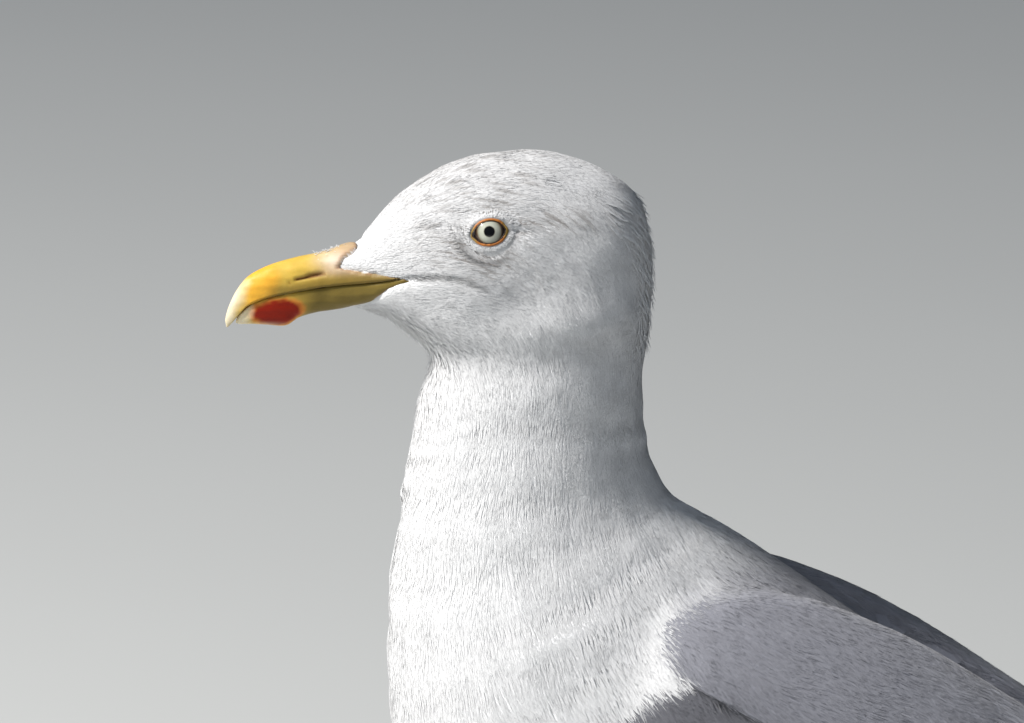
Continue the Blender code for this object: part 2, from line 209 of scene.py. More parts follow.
def loft(rings):
    """A closed bmesh through rings of bird points: the last ring's edges are extruded to make the next."""
    bm = bmesh.new()
    bmesh.ops.create_circle(bm, segments=len(rings[0]), radius=1.0)
    first = loop = list(bm.verts)
    edges = list(bm.edges)
    for number, ring in enumerate(rings):
        if number:
            made = bmesh.ops.extrude_edge_only(bm, edges=edges)["geom"]
            fresh = {part for part in made if isinstance(part, bmesh.types.BMVert)}
            made_edges = [part for part in made if isinstance(part, bmesh.types.BMEdge)]
            edges = [edge for edge in made_edges if set(edge.verts) <= fresh]
            loop = [next(e.other_vert(v) for e in v.link_edges if e.other_vert(v) in fresh) for v in loop]
        for vert, place in zip(loop, to_frame(ring)):
            vert.co = place
    for end in (first, loop):
        bmesh.ops.poke(bm, faces=[bm.faces.new(end)])
    bmesh.ops.recalc_face_normals(bm, faces=bm.faces)
    return bm


def mesh_arrays(mesh):
    """Vertices and triangles of a mesh, in bird millimetres."""
    mesh.calc_loop_triangles()
    verts = np.empty(len(mesh.vertices) * 3)
    mesh.vertices.foreach_get("co", verts)
    faces = np.empty(len(mesh.loop_triangles) * 3, np.int32)
    mesh.loop_triangles.foreach_get("vertices", faces)
    return to_bird(verts.reshape(-1, 3)), faces.reshape(-1, 3)


def paint_points(mesh, colours):
    """Gives each corner of the mesh its own colour, which its material reads."""
    rgba = np.concatenate([np.clip(colours, 0, 1), np.ones((len(colours), 1))], 1)
    mesh.color_attributes.new("plumage", "FLOAT_COLOR", "POINT").data.foreach_set("color", rgba.ravel())


class Surface:
    """A mesh as arrays in bird millimetres, with its lie along the body and nearest-point lookup."""

    def __init__(self, mesh):
        self.verts, self.faces = mesh_arrays(mesh)
        self.tree = BVHTree.FromPolygons(self.verts.tolist(), self.faces.tolist())
        a, b, c = (self.verts[self.faces[:, k]] for k in range(3))
        cross = np.cross(b - a, c - a)
        self.area = np.linalg.norm(cross, axis=1) / 2
        self.normal = unit(cross)
        self.middle = (a + b + c) / 3
        self.reach, self.rise, _ = along_body(self.middle)
        self.soft = np.zeros_like(self.verts)
        for k in range(3):
            np.add.at(self.soft, self.faces[:, k], cross)
        for _ in range(SOFTER_NORMALS):
            around = unit(self.soft)
            self.soft = around.copy()
            for k in range(3):
                others = around[self.faces[:, k - 1]] + around[self.faces[:, k - 2]]
                np.add.at(self.soft, self.faces[:, k], others)
        self.soft = unit(self.soft)

    def soft_normal(self, face, place):
        """The smoothed normal at a place on a face, blended from the face's corners."""
        corner = [self.verts[self.faces[face, k]] - place for k in range(3)]
        share = [np.linalg.norm(np.cross(corner[k - 2], corner[k - 1]), axis=1) for k in range(3)]
        return unit(sum(self.soft[self.faces[face, k]] * share[k][:, None] for k in range(3)))

    def nearest(self, points):
        """The nearest places on the surface, and the smoothed normals there."""
        place, face = np.empty((len(points), 3)), np.empty(len(points), int)
        for k, point in enumerate(points.tolist()):
            place[k], _, face[k], _ = self.tree.find_nearest(point)
        return place, self.soft_normal(face, place)

    def scatter(self, spacing, keep, seed):
        """Evenly strewn places: random points by area, then one from each cell of about the spacing."""
        step = np.round(np.log(np.broadcast_to(spacing, self.area.shape)) / math.log(1.12))
        gap = 1.12**step
        share = np.where(keep, self.area / gap**2, 0.0)
        rng = np.random.default_rng(seed)
        face = rng.choice(len(share), int(share.sum() * 5), p=share / share.sum())
        u, v = rng.random(len(face)), rng.random(len(face))
        flip = u + v > 1
        u[flip], v[flip] = 1 - u[flip], 1 - v[flip]
        a, b, c = (self.verts[self.faces[face, k]] for k in range(3))
        place = a + (b - a) * u[:, None] + (c - a) * v[:, None]
        cell = np.floor(place / (gap[face, None] * 1.2)).astype(np.int64)
        key = cell @ np.array([73856093, 19349663, 83492791]) ^ (step[face].astype(np.int64) * 2654435761)
        _, first = np.unique(key, return_index=True)
        return place[first], self.soft_normal(face[first], place[first])


# ---------------------------------------------------------------- markings

# Border where grey starts over the back and on the wing's bend, where a white wedge points back, and the
# lower edge of the folded wing: all in bird millimetres.
GREY_START = [(0.0, 84.0), (20.0, 74.0), (38.0, 58.0), (50.0, 44.0), (90.0, 40.0)]  # distance from midline, x
FLANK_START = [  # z, x
    (205, 16), (223, 31), (229, 40), (235, 49), (241, 45), (248, 43.5), (254, 43.5), (262, 50),
]
WING_LOW = [  # x, z
    (20, 206), (34, 186), (56, 173), (87, 162), (115, 152), (144, 142), (174, 134), (204, 128), (260, 126),
]
RUMP_X = 214.0
RUMP_HALF_WIDTH = 22


def on_rump(points):
    return (points[:, 0] > RUMP_X) & (np.abs(points[:, 1]) < RUMP_HALF_WIDTH)


def grey_start(points):
    """How far back the grey begins for each point."""
    _, y, z = points.T
    side = np.abs(y)
    flank = ease(40, 50, side)
    return np.interp(side, *zip(*GREY_START)) * (1 - flank) + np.interp(z, *zip(*FLANK_START)) * flank


def plumage_colour_and_shade(points, tufts, seed):
    """The bird's markings: white, grey over the back and wings, and fine streaks on the face and crown, with
    painted shade on the coverts under the scapulars' edge and round the eyes.
    tufts is a random number in 0..1 for each point, so that neighbours differ as feathers do."""
    x, y, z = points.T
    side = np.abs(y)
    wobble = 2.0 * ripple(points, 22, seed) + 5.0 * (tufts - 0.5)
    soft = 3 + 12 * (1 - ease(38, 50, side))
    grey = ease(-1, 1, (x - grey_start(points) + wobble) / soft)
    grey *= ease(-3, 4, over_line(points, WING_LOW) + wobble * 0.4)
    grey *= 1 - ease(RUMP_X - 6, RUMP_X + 10, x) * (side < 26)
    tone = 1 + 0.045 * ripple(points, 9, seed + 1) + 0.05 * (tufts - 0.5)
    # painted shade: the coverts under the scapulars' edge are painted darker, the slit under that edge darkest
    # as a painted shadow, and the scapulars' lowest band a little darker
    over = over_line(points, SCAPULAR_EDGE) + wobble * 0.3
    covert_shade = ease(1.0, -1.5, over) * (1 - ease(66, 125, x)) * ease(35, 42, side)
    slit = np.exp(-(((over + 0.6) / 0.9) ** 2)) * (1 - ease(70, 100, x)) * ease(38, 44, side)
    tone = tone * (1 - 0.55 * grey * slit)
    low_scapular_shade = 0.12 * (1 - ease(2, 22, over)) * (1 - ease(90, 150, x)) * (1 - covert_shade)
    tone = tone * (1 - grey * (0.52 * covert_shade + low_scapular_shade))
    colour = np.outer(np.ones(len(x)), WHITE) * (1 - grey)[:, None] + np.outer(grey, GREY)
    colour = colour * tone[:, None]
    # crown, lores and the patch behind the eye carry fine brownish streaks, longer than wide
    head = np.flatnonzero(z > 345)
    hx, _, hz = points[head].T
    crown = ease(385, 397, hz) * ease(-50, -34, hx) * (1 - ease(0, 20, hx))
    lores = np.exp(-(((hx + 28) / 11) ** 2 + ((hz - 379) / 8) ** 2))
    behind = np.exp(-(((hx - 13) / 17) ** 2 + ((hz - 385 + (hx - 12) * 0.1) / 4.5) ** 2))
    round_eye = np.exp(-((np.hypot((hx + 11) / 11, (hz - 380) / 9) - 0.9) ** 2) / 0.35)
    cheek = np.exp(-(((hx + 8) / 20) ** 2 + ((hz - 368) / 7) ** 2))
    patch = np.clip(0.5 * crown + 0.6 * lores + 0.75 * behind + 0.5 * round_eye + 0.3 * cheek, 0, 1)
    edge = lid_distance(points[head])
    patch *= ease(1.25, 1.7, edge)
    grain = ripple(in_cells(points[head], *STREAK_CELL), 1.0, seed + 2)
    # painted shade next to the lids, and in the hollow before and under the eye
    rim = 0.7 * (1 - ease(1.25, 1.62, edge))
    colour[head] = colour[head] * (1 - rim)[:, None]
    hollow = np.hypot((hx + 11.5) / 9.0, (hz - 379.5) / 7.5)
    socket = np.exp(-((hollow - 1.0) ** 2) / 0.05) * ease(385, 377, hz)
    colour[head] = colour[head] * (1 - 0.55 * socket * (1 - ease(-8, 2, hx)))[:, None]
    streak = patch * ease(0.0, 0.9, grain + 0.7 * (tufts[head] - 0.5)) * 0.85 + 0.18 * patch
    colour[head] = colour[head] * (1 - streak)[:, None] + np.array(STREAK) * streak[:, None]
    return np.clip(colour, 0, 1)


# ---------------------------------------------------------------- blades: tufts, vanes and quills


BAKE_PATCH = 0.003  # side of the square that one blade takes on the map
SOFT_ROUND = 0.16  # how much a blade's shading turns across it; loose barbs scatter light, so it is little


def tuft_template(stations):
    """A slim closed tuft, root at 0 and tip at 1 along X, three-sided: a flat back, and a keel under it."""
    bm = bmesh.new()
    bmesh.ops.create_uvsphere(bm, u_segments=3, v_segments=stations, radius=1.0)
    bmesh.ops.rotate(bm, matrix=Matrix.Rotation(math.pi / 2, 3, "Y"), verts=bm.verts)
    peak = max((vert.co.z for vert in bm.verts), key=abs)
    for vert in bm.verts:
        x, y, z = vert.co
        round_by = math.hypot(y, z)
        if round_by > 1e-3:
            along = 0.44 if stations == 2 else (0.28 if x < 0 else 0.7)
            wide = 1.0 if stations == 2 or x < 0 else 0.8
            keel = -0.07 * z / round_by * wide * math.copysign(1, peak)
            vert.co = (along, 0.577 * y / round_by * wide, keel)
        else:
            vert.co = ((x + 1) / 2, 0, 0)
    bmesh.ops.recalc_face_normals(bm, faces=bm.faces)
    return template_arrays(bm)


def vane_template(rows, columns, tip, camber, thickness):
    """A closed feather blade with a rounded tip. Along X from 0 to 1, across Y from -0.5 to 0.5."""
    bm = bmesh.new()
    bmesh.ops.create_grid(bm, x_segments=rows, y_segments=columns, size=0.5)
    for vert in bm.verts:
        along, across = vert.co.x + 0.5, vert.co.y
        along = 1 - (1 - along) ** 1.25
        wide = min(1.0, 0.35 + 1.9 * along) * (1 - max(0.0, (along - tip) / (1 - tip)) ** 2.6) ** 0.5
        wide = max(wide, 0.06)
        vert.co = (along, across * wide, camber * (0.25 - across * across) * wide)
    bmesh.ops.solidify(bm, geom=bm.faces, thickness=thickness)
    bmesh.ops.recalc_face_normals(bm, faces=bm.faces)
    return template_arrays(bm)


def template_arrays(bm):
    """A blade's corners and triangles as arrays, to be copied many times."""
    bm.verts.index_update()
    bmesh.ops.triangulate(bm, faces=bm.faces)
    verts = np.array([v.co for v in bm.verts])
    faces = np.array([[v.index for v in f.verts] for f in bm.faces], np.int32)
    bm.free()
    return verts, faces


def on_curve(template, root, middle, tip, normal, tip_normal, width):
    """Blades bent on a smooth curve root - middle - tip: their points, and the way that each is shaded."""
    verts = template[0]
    t = verts[:, 0][None, :, None]
    bend = 2 * middle - (root + tip) / 2
    spine = (1 - t) ** 2 * root[:, None] + 2 * t * (1 - t) * bend[:, None] + t**2 * tip[:, None]
    way = unit((1 - t) * (bend - root)[:, None] + t * (tip - bend)[:, None])
    facing = unit(normal[:, None] * (1 - t) + tip_normal[:, None] * t)
    across = unit(np.cross(facing, way))
    up = np.cross(way, across)
    wide = np.broadcast_to(width, (len(root),))[:, None, None]
    place = spine + across * (verts[:, 1][None, :, None] * wide) + up * (verts[:, 2][None, :, None] * wide)
    return place, unit(facing + across * (verts[:, 1][None, :, None] * SOFT_ROUND))


def draped(template, surface, root, normal, way, length, width, low, high):
    """Blades pressed on the surface, rising over it from low at the root to high at the tip."""
    along, side, up = (template[0][:, k][None, :, None] for k in range(3))
    across = np.cross(normal, way)
    flat = root[:, None] + way[:, None] * (along * length[:, None, None])
    flat = flat + across[:, None] * (side * width[:, None, None])
    place, facing = surface.nearest(flat.reshape(-1, 3))
    place, facing = place.reshape(flat.shape), facing.reshape(flat.shape)
    lift = low + (high - low)[:, None, None] * along + up * width[:, None, None]
    return place + facing * lift, unit(facing + across[:, None] * (side * SOFT_ROUND) - way[:, None] * 0.05)


def blades(name, template, shape, colour, spread, material, paint=None):
    """One joined mesh of blades. Shape is their points and shading; spread places each blade on the map."""
    verts, faces = template
    place, facing = shape
    count, each = len(place), len(verts)
    mesh = bpy.data.meshes.new(name)
    mesh.vertices.add(count * each)
    mesh.vertices.foreach_set("co", to_frame(place.reshape(-1, 3)).ravel())
    corner = (faces[None] + (np.arange(count) * each)[:, None, None]).reshape(-1)
    mesh.loops.add(len(corner))
    mesh.loops.foreach_set("vertex_index", corner.astype(np.int32))
    mesh.polygons.add(count * len(faces))
    mesh.polygons.foreach_set("loop_start", np.arange(0, len(corner), 3, dtype=np.int32))
    mesh.update(calc_edges=True)
    along, across = (np.broadcast_to(verts[:, k], (count, each)) for k in range(2))
    shade = np.repeat(colour[:, None], each, 1)
    if paint is not None:
        shade = paint(shade, along, across)
    paint_points(mesh, shade.reshape(-1, 3))
    chance = np.random.default_rng(count).random(count)
    blade = np.stack([along, across, np.repeat(chance[:, None], each, 1)], 2)
    mesh.attributes.new("blade", "FLOAT_VECTOR", "POINT").data.foreach_set("vector", blade.ravel())
    patch = BAKE_PATCH * (verts[:, :2] - (0.5, 0.0))
    uv = spread[:, None] + patch[None]
    mesh.uv_layers.new(name="OFBake").data.foreach_set("uv", uv.reshape(-1, 2)[corner].ravel())
    made = finished(name, mesh, material)
    mesh.normals_split_custom_set_from_vertices(facing.reshape(-1, 3).tolist())
    return made


def lay(template, surface, root, normal, way, length, width, lift_middle, lift_tip, sink):
    """Narrow blades bent over the surface: root under it, middle and tip held a little above it."""
    mid_place, mid_normal = surface.nearest(root + way * (length * 0.5)[:, None])
    tip_place, tip_normal = surface.nearest(root + way * length[:, None])
    middle = mid_place + mid_normal * np.broadcast_to(lift_middle, length.shape)[:, None]
    tip = tip_place + tip_normal * np.broadcast_to(lift_tip, length.shape)[:, None]
    low = root - normal * np.broadcast_to(sink, length.shape)[:, None]
    return on_curve(template, low, middle, tip, unit(normal + mid_normal), tip_normal, width)


# ---------------------------------------------------------------- materials


def node_material(name, base_roughness, build):
    """A Principled material whose colour and bump come from the nodes that build adds."""
    material = bpy.data.materials.new(name)
    material.use_nodes = True
    tree = material.node_tree
    shader = tree.nodes["Principled BSDF"]
    shader.inputs["Roughness"].default_value = base_roughness
    build(tree, shader)
    return material


class Nodes:
    """Short calls that add and link shader nodes."""

    def __init__(self, tree):
        self.tree = tree

    def add(self, kind, **inputs):
        node = self.tree.nodes.new(kind)
        for key, value in inputs.items():
            setattr(node, key, value)
        return node

    def put(self, node, socket, value):
        if isinstance(value, bpy.types.NodeSocket):
            self.tree.links.new(value, node.inputs[socket])
        else:
            node.inputs[socket].default_value = value

    def attribute(self, name):
        node = self.add("ShaderNodeAttribute", attribute_name=name)
        return node.outputs["Color"], node.outputs["Vector"]

    def axes(self, vector):
        node = self.add("ShaderNodeSeparateXYZ")
        self.put(node, 0, vector)
        return node.outputs

    def math(self, operation, a, b=0.0):
        node = self.add("ShaderNodeMath", operation=operation)
        self.put(node, 0, a)
        self.put(node, 1, b)
        return node.outputs[0]

    def place(self):
        return self.add("ShaderNodeTexCoord").outputs["Object"]

    def noise(self, vector, scale, detail=3.0, roughness=0.5):
        node = self.add("ShaderNodeTexNoise")
        self.put(node, "Vector", vector)
        self.put(node, "Scale", scale)
        self.put(node, "Detail", detail)
        self.put(node, "Roughness", roughness)
        return node.outputs["Fac"]

    def span(self, value, low, high):
        """Maps 0..1 to low..high."""
        node = self.add("ShaderNodeMapRange")
        self.put(node, "Value", value)
        self.put(node, "To Min", low)
        self.put(node, "To Max", high)
        return node.outputs[0]

    def scaled(self, colour, factor):
        node = self.add("ShaderNodeVectorMath", operation="SCALE")
        self.put(node, 0, colour)
        self.put(node, "Scale", factor)
        return node.outputs[0]

    def mix(self, factor, a, b):
        node = self.add("ShaderNodeMix", data_type="RGBA")
        self.put(node, "Factor", factor)
        self.put(node, 6, a)
        self.put(node, 7, b)
        return node.outputs[2]

    def bump(self, height, strength, distance):
        node = self.add("ShaderNodeBump")
        self.put(node, "Height", height)
        self.put(node, "Strength", strength)
        self.put(node, "Distance", distance)
        return node.outputs[0]


def feather_nodes(barbs, depth):
    """Barbs run out from each blade's shaft: fine lines in colour and in bump."""

    def build(tree, shader):
        n = Nodes(tree)
        colour, _ = n.attribute("plumage")
        _, blade = n.attribute("blade")
        along, across, chance = n.axes(blade)
        out = n.math("ABSOLUTE", across)
        lines = n.math("ADD", n.math("MULTIPLY", along, barbs), n.math("MULTIPLY", out, -barbs * 0.9))
        lines = n.math("ADD", lines, n.math("MULTIPLY", chance, 7.0))
        wave = n.math("SINE", n.math("MULTIPLY", lines, 2 * math.pi))
        fine = n.noise(n.place(), 900.0, 2.0, 0.6)
        broad = n.noise(n.place(), 160.0, 3.0, 0.55)
        tone = n.math("MULTIPLY", n.span(wave, 0.985, 1.0), n.span(fine, 0.97, 1.03))
        tone = n.math("MULTIPLY", tone, n.span(broad, 0.95, 1.05))
        n.put(shader, "Base Color", n.scaled(colour, tone))
        height = n.math("ADD", n.math("MULTIPLY", wave, 0.5), fine)
        n.put(shader, "Normal", n.bump(height, 0.2, depth))
        shader.inputs["Subsurface Weight"].default_value = 0.3
        shader.inputs["Subsurface Radius"].default_value = (1.0, 1.0, 1.0)
        shader.inputs["Subsurface Scale"].default_value = 0.001
        shader.inputs["Sheen Weight"].default_value = 0.15
        shader.inputs["Sheen Roughness"].default_value = 0.6
        shader.inputs["Specular IOR Level"].default_value = 0.25

    return build


def skin_nodes(tree, shader):
    n = Nodes(tree)
    colour, _ = n.attribute("plumage")
    fine = n.noise(n.place(), 1400.0, 4.0, 0.6)
    broad = n.noise(n.place(), 200.0, 3.0, 0.5)
    tone = n.math("MULTIPLY", n.span(fine, 0.86, 1.0), n.span(broad, 0.94, 1.04))
    n.put(shader, "Base Color", n.scaled(colour, tone))
    n.put(shader, "Normal", n.bump(fine, 0.6, 0.0004))
    shader.inputs["Specular IOR Level"].default_value = 0.2


# ---------------------------------------------------------------- the eye's own axes

EYE = np.array([EYE_X, -16.2, 380.6])  # centre of the left eyeball
EYE_RADIUS = 8.6
EYE_LONG, EYE_HIGH = 5.0, 3.65  # half lengths of the opening between the lids
EYE_OUT = unit(np.array([-0.136, -0.965, 0.225]))
EYE_TILT = math.radians(8)


def eye_axes():
    """Backward along the opening, up across it, and out of the head."""
    back = unit(np.array([1.0, 0, 0]) - EYE_OUT * EYE_OUT[0])
    up = np.cross(EYE_OUT, back)
    up *= math.copysign(1, up[2])
    return (
        back * math.cos(EYE_TILT) + up * math.sin(EYE_TILT),
        up * math.cos(EYE_TILT) - back * math.sin(EYE_TILT),
        EYE_OUT,
    )


EYE_AXES = np.array(eye_axes())


def in_eye(points):
    """Points seen from the eye on their own side: backward, up, out."""
    return (on_left(points) - EYE) @ EYE_AXES.T


def lid_distance(points):
    """0 at the eye's centre, 1 at the lids' edge, more outside; large away from the eye."""
    back, up, out = in_eye(points).T
    return np.where(out > 0, np.hypot(back / EYE_LONG, up / EYE_HIGH), 9.0)


# Creases of the face, each as x, z points, how deep it is and its half width.
CREASES = [
    ([(-44, 363.8), (-38, 365.3), (-27.6, 367.2), (-18.9, 365.3), (-10.4, 361.0)], 1.1, 1.0),
    ([(-20.3, 383.0), (-18.2, 378.9), (-14.8, 375.4), (-10.7, 374.4), (-5, 375.6)], 1.0, 0.7),
    ([(-24.0, 384.0), (-21.6, 377.5), (-17.0, 373.0), (-11, 371.2)], 0.8, 0.7),
    ([(-3.9, 382.6), (1.7, 382.2), (8.0, 383.0)], 0.7, 0.8),
]


def crease_depth(points):
    """How far the creases draw the surface in at each point."""
    depth = np.zeros(len(points))
    near = np.flatnonzero((points[:, 2] > 350) & (points[:, 0] < 15) & (np.abs(points[:, 1]) > 8))
    flat = points[near][:, [0, 2]]
    for line, deep, wide in CREASES:
        run = smooth_rows(line, 8)
        gap = np.full(len(flat), 99.0)
        fade = np.ones(len(flat))
        for k, (a, b) in enumerate(zip(run[:-1], run[1:])):
            t = np.clip(((flat - a) @ (b - a)) / ((b - a) @ (b - a)), 0, 1)
            off = np.linalg.norm(flat - a - t[:, None] * (b - a), axis=1)
            fade = np.where(off < gap, 1 - ((k + t) / (len(run) - 1)) ** 3, fade)
            gap = np.minimum(gap, off)
        depth[near] = np.maximum(depth[near], deep * fade * np.exp(-((gap / wide) ** 2)))
    return depth


# ---------------------------------------------------------------- settings


def colour(name, description, default):
    return FloatVectorProperty(
        name=name, description=description, default=default, subtype="COLOR", size=3, min=0, max=1
    )


def length(name, description, default):
    return FloatProperty(name=name, description=description, default=default, unit="LENGTH")


class GullSettings(PropertyGroup):
    """Sizes and colours that a user would change."""

    skin_grain: length("Skin grain", "Size of the skin's mesh", 0.0017)
    seed: IntProperty(name="Seed", description="Chooses the scatter of the feathers", default=7)
    bill_yellow: colour("Bill yellow", "The bill's main colour", (0.52, 0.35, 0.06))
    bill_red: colour("Bill spot", "The spot near the lower mandible's tip", (0.23, 0.010, 0.001))
    bill_pale: colour("Bill root", "The pale horn above the nostril", (0.40, 0.29, 0.20))
    iris: colour("Iris", "The palest part of the iris, round the pupil", (0.42, 0.43, 0.36))
    eye_ring: colour("Eye ring", "The bare ring round the eye", (0.40, 0.135, 0.022))
    leg_pink: colour("Leg", "Shanks, toes and webs", (0.60, 0.36, 0.31))
    leg_grain: length("Leg grain", "Size of the legs' mesh", 0.0007)
    camera_distance: length("Camera distance", "From the head to the camera", 3.0)


# ---------------------------------------------------------------- skin


TAIL_FLESH_END = 318.0
BILL_ROOT_END = -63.0
# Distance along the body, and the coat's thickness there.
COAT_REACH = [0, 60, 100, 180, 260, 420, 520]
COAT_DEPTH = [0.27, 0.25, 0.19, 0.20, 0.30, 0.80, 0.7]
HORN_DEPTH = 1.3  # how far the skin dips under the bill's root
FINE_FACE = 15  # the skin's mesh is finer this near to an eye
SKIN_TONE = 0.92  # between the feathers, the skin is a little darker than they are
# Lower edge of the scapular feathers, which lie over the wing coverts: x, z.
SCAPULAR_EDGE = [
    (46, 238), (49.5, 235.5), (68, 225), (90, 213), (120, 198), (150, 183), (190, 163), (225, 146),
]


def coat_depth(points, reach):
    """Thickness of the feathers over the skin in millimetres, and the skin's dip under the bill's root."""
    horn = ease(0.6, -1.6, bill_root(points)) * ease(-28, -33, points[:, 0])
    return np.interp(reach, COAT_REACH, COAT_DEPTH) + HORN_DEPTH * horn


def nodes_mesh(names):
    """A copy of the nodes' meshes as one bmesh, merged."""
    bm = bmesh.new()
    for name in names:
        bm.from_mesh(bpy.data.objects[name].data)
    bmesh.ops.remove_doubles(bm, verts=bm.verts, dist=1e-6)
    return bm


def joined_flesh():
    """Flesh, eyes and the roots of bill and tail as one bmesh, their coincident corners merged."""
    bm = nodes_mesh(FLESH + ["tail", "eye_left", "eye_right", "bill_upper", "bill_lower"])
    for end, way in ((TAIL_FLESH_END, 1), (BILL_ROOT_END, -1)):
        cut = (end + ORIGIN_X) * 0.001
        parts = bm.verts[:] + bm.edges[:] + bm.faces[:]
        bmesh.ops.bisect_plane(bm, geom=parts, plane_co=(cut, 0, 0), plane_no=(way, 0, 0), clear_outer=True)
    bmesh.ops.holes_fill(bm, edges=[e for e in bm.edges if e.is_boundary])
    return bm


def voxel_remeshed(bm, size):
    """A new bmesh round all that is in the one given, with no seams inside."""
    mesh = bpy.data.meshes.new("remeshed")
    bm.to_mesh(mesh)
    bm.free()
    made = bpy.data.objects.new("remeshed", mesh)
    bpy.context.scene.collection.objects.link(made)
    remesh = made.modifiers.new("Remesh", "REMESH")
    remesh.mode = "VOXEL"
    remesh.voxel_size = size
    shape = bpy.data.meshes.new_from_object(made.evaluated_get(bpy.context.evaluated_depsgraph_get()))
    bpy.data.objects.remove(made)
    bpy.data.meshes.remove(mesh)
    bm = bmesh.new()
    bm.from_mesh(shape)
    bpy.data.meshes.remove(shape)
    return bm


def smooth(bm, rounds):
    for _ in range(rounds):
        bmesh.ops.smooth_vert(
            bm, verts=bm.verts, factor=0.5, use_axis_x=True, use_axis_y=True, use_axis_z=True
        )


def points_of(bm):
    """The mesh's corners, in bird millimetres."""
    return to_bird([vert.co for vert in bm.verts])


def place_points(bm, points):
    for vert, place in zip(bm.verts, to_frame(points)):
        vert.co = place


def normals_of(bm):
    bm.normal_update()
    return np.array([vert.normal for vert in bm.verts])


def quill_line(x):
    """Height of the tail feathers' own plane, toward which the tail's flesh thins."""
    return np.interp(x, (262.0, 370.0), (122.5, 72.0))


def shape_surface(points, normals):
    """Adds the face's swells and creases, the neck's folds, the scapulars' step over the wing and the lids,
    and thins the tail's root."""
    x, y, z = points.T
    head = ease(300, 345, z) * ease(-50, -30, x)
    side = ease(8, 20, np.abs(y))
    jowl = np.exp(-(((z - 348 - 0.12 * x) / 6.5) ** 2)) * ease(-38, -18, x) * (1 - ease(32, 46, x)) * side
    under = np.exp(-(((z - 334 - 0.12 * x) / 6.5) ** 2)) * ease(-34, -16, x) * (1 - ease(32, 46, x)) * side
    reach, _, _ = along_body(points)
    folds = ripple(in_cells(points, *FOLD_CELL), 1.0, 23)
    neck = ease(95, 150, reach) * (1 - ease(250, 330, reach)) * (1 - ease(-30, 0, x - grey_start(points)))
    swell = 0.35 * ripple(points, 11, 21) * head + 0.4 * ripple(points, 24, 22) * ease(210, 260, z)
    swell = (swell + 0.9 * folds * neck) * ease(1.6, 3.5, lid_distance(points))
    over = over_line(points, SCAPULAR_EDGE)
    shoulder = ease(48, 60, x) * (1 - ease(200, 225, x)) * ease(35, 45, np.abs(y))
    step = 2.0 * ease(-1.2, 1.2, over) * (1 - ease(4, 26, over)) - 0.5 * np.exp(-(((over + 2.5) / 2) ** 2))
    swell = swell + shoulder * step
    thin = 1 - 0.8 * ease(278, TAIL_FLESH_END, x)
    points = np.stack([x, y, quill_line(x) + (z - quill_line(x)) * thin], 1)
    points = points + normals * (swell + 1.8 * jowl - 0.9 * under - crease_depth(points))[:, None]
    return seat_lids(points)


def seat_lids(points):
    """Lifts the skin round each eyeball into lids, and sinks it behind the opening between them."""
    back, up, out = in_eye(points).T
    edge = np.hypot(back / EYE_LONG, up / EYE_HIGH)
    shrink = np.minimum(edge, 1.15) / np.maximum(edge, 1e-6)
    ball = np.sqrt(np.maximum(EYE_RADIUS**2 - (back**2 + up**2) * shrink**2, 0))
    lid = 0.55 * np.exp(-(((edge - 1.45) / 0.28) ** 2)) * np.where(up > 0, 1.0, 0.5)
    seat = np.where(edge < 1, ball - 1.3, ball + 0.1)
    seated = seat + (out - seat) * ease(1.05, 1.9, edge) + lid
    globe = np.sqrt(np.maximum(EYE_RADIUS**2 - back**2 - up**2, 0)) + 0.25
    seated = np.where(edge > 1.0, np.maximum(seated, globe), seated)
    push = np.where((out > 0) & (edge < 2.4), seated - out, 0.0)
    outward = np.broadcast_to(EYE_OUT, points.shape) * to_own_side(points)
    return points + outward * push[:, None]


class GULL_OT_skin(Operator):
    """One skin over head, neck, body, wings and thighs, inside them by the depth of the feathers"""

    bl_idname = "gull.skin"
    bl_label = "Skin"

    def execute(self, context):
        sizes = context.scene.gull
        bm = voxel_remeshed(joined_flesh(), sizes.skin_grain)
        smooth(bm, 6)
        near = np.linalg.norm(on_left(points_of(bm)) - EYE, axis=1) < FINE_FACE
        face = {v for v, close in zip(bm.verts, near) if close}
        edges = [e for e in bm.edges if e.verts[0] in face and e.verts[1] in face]
        bmesh.ops.subdivide_edges(bm, edges=edges, cuts=1, use_grid_fill=True)
        bmesh.ops.triangulate(bm, faces=bm.faces)
        points = points_of(bm)
        reach, _, _ = along_body(points)
        points = points - normals_of(bm) * coat_depth(points, reach)[:, None]
        place_points(bm, points)
        smooth(bm, 1)
        place_points(bm, shape_surface(points_of(bm), normals_of(bm)))
        bmesh.ops.recalc_face_normals(bm, faces=bm.faces)
        skin = new_object("skin", bm, node_material("skin", 0.9, skin_nodes))
        points, _ = mesh_arrays(skin.data)
        chance = 0.5 + 0.25 * ripple(points, 4, 3)
        paint_points(skin.data, plumage_colour_and_shade(points, chance, sizes.seed) * SKIN_TONE)
        add_skin_map(skin.data, points)
        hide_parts(*FLESH)
        return {"FINISHED"}


def body_map(points):
    """The unwrap that skin and coat share: distance along the body, and turn round its middle line."""
    reach, turn, _ = round_body(points)
    return np.stack([0.01 + 0.98 * reach / SPINE_REACH[-1], 0.5 + 0.49 * turn / math.pi], 1)


def add_skin_map(mesh, points):
    """The shared unwrap on the skin itself; faces over the seam keep to one side of it."""
    spread = body_map(points)
    corner = np.empty(len(mesh.loops), np.int32)
    mesh.loops.foreach_get("vertex_index", corner)
    uv = spread[corner].reshape(-1, 3, 2)
    split = np.ptp(uv[:, :, 1], axis=1) > 0.5
    uv[split, :, 1] = np.where(uv[split, :, 1] < 0.5, 0.995, uv[split, :, 1])
    mesh.uv_layers.new(name="OFBake").data.foreach_set("uv", uv.ravel())


SURFACES = {}


def skin_surface():
    """The finished skin as arrays, worked out once."""
    if "skin" not in SURFACES:
        SURFACES["skin"] = Surface(bpy.data.objects["skin"].data)
    return SURFACES["skin"]


# ---------------------------------------------------------------- coat

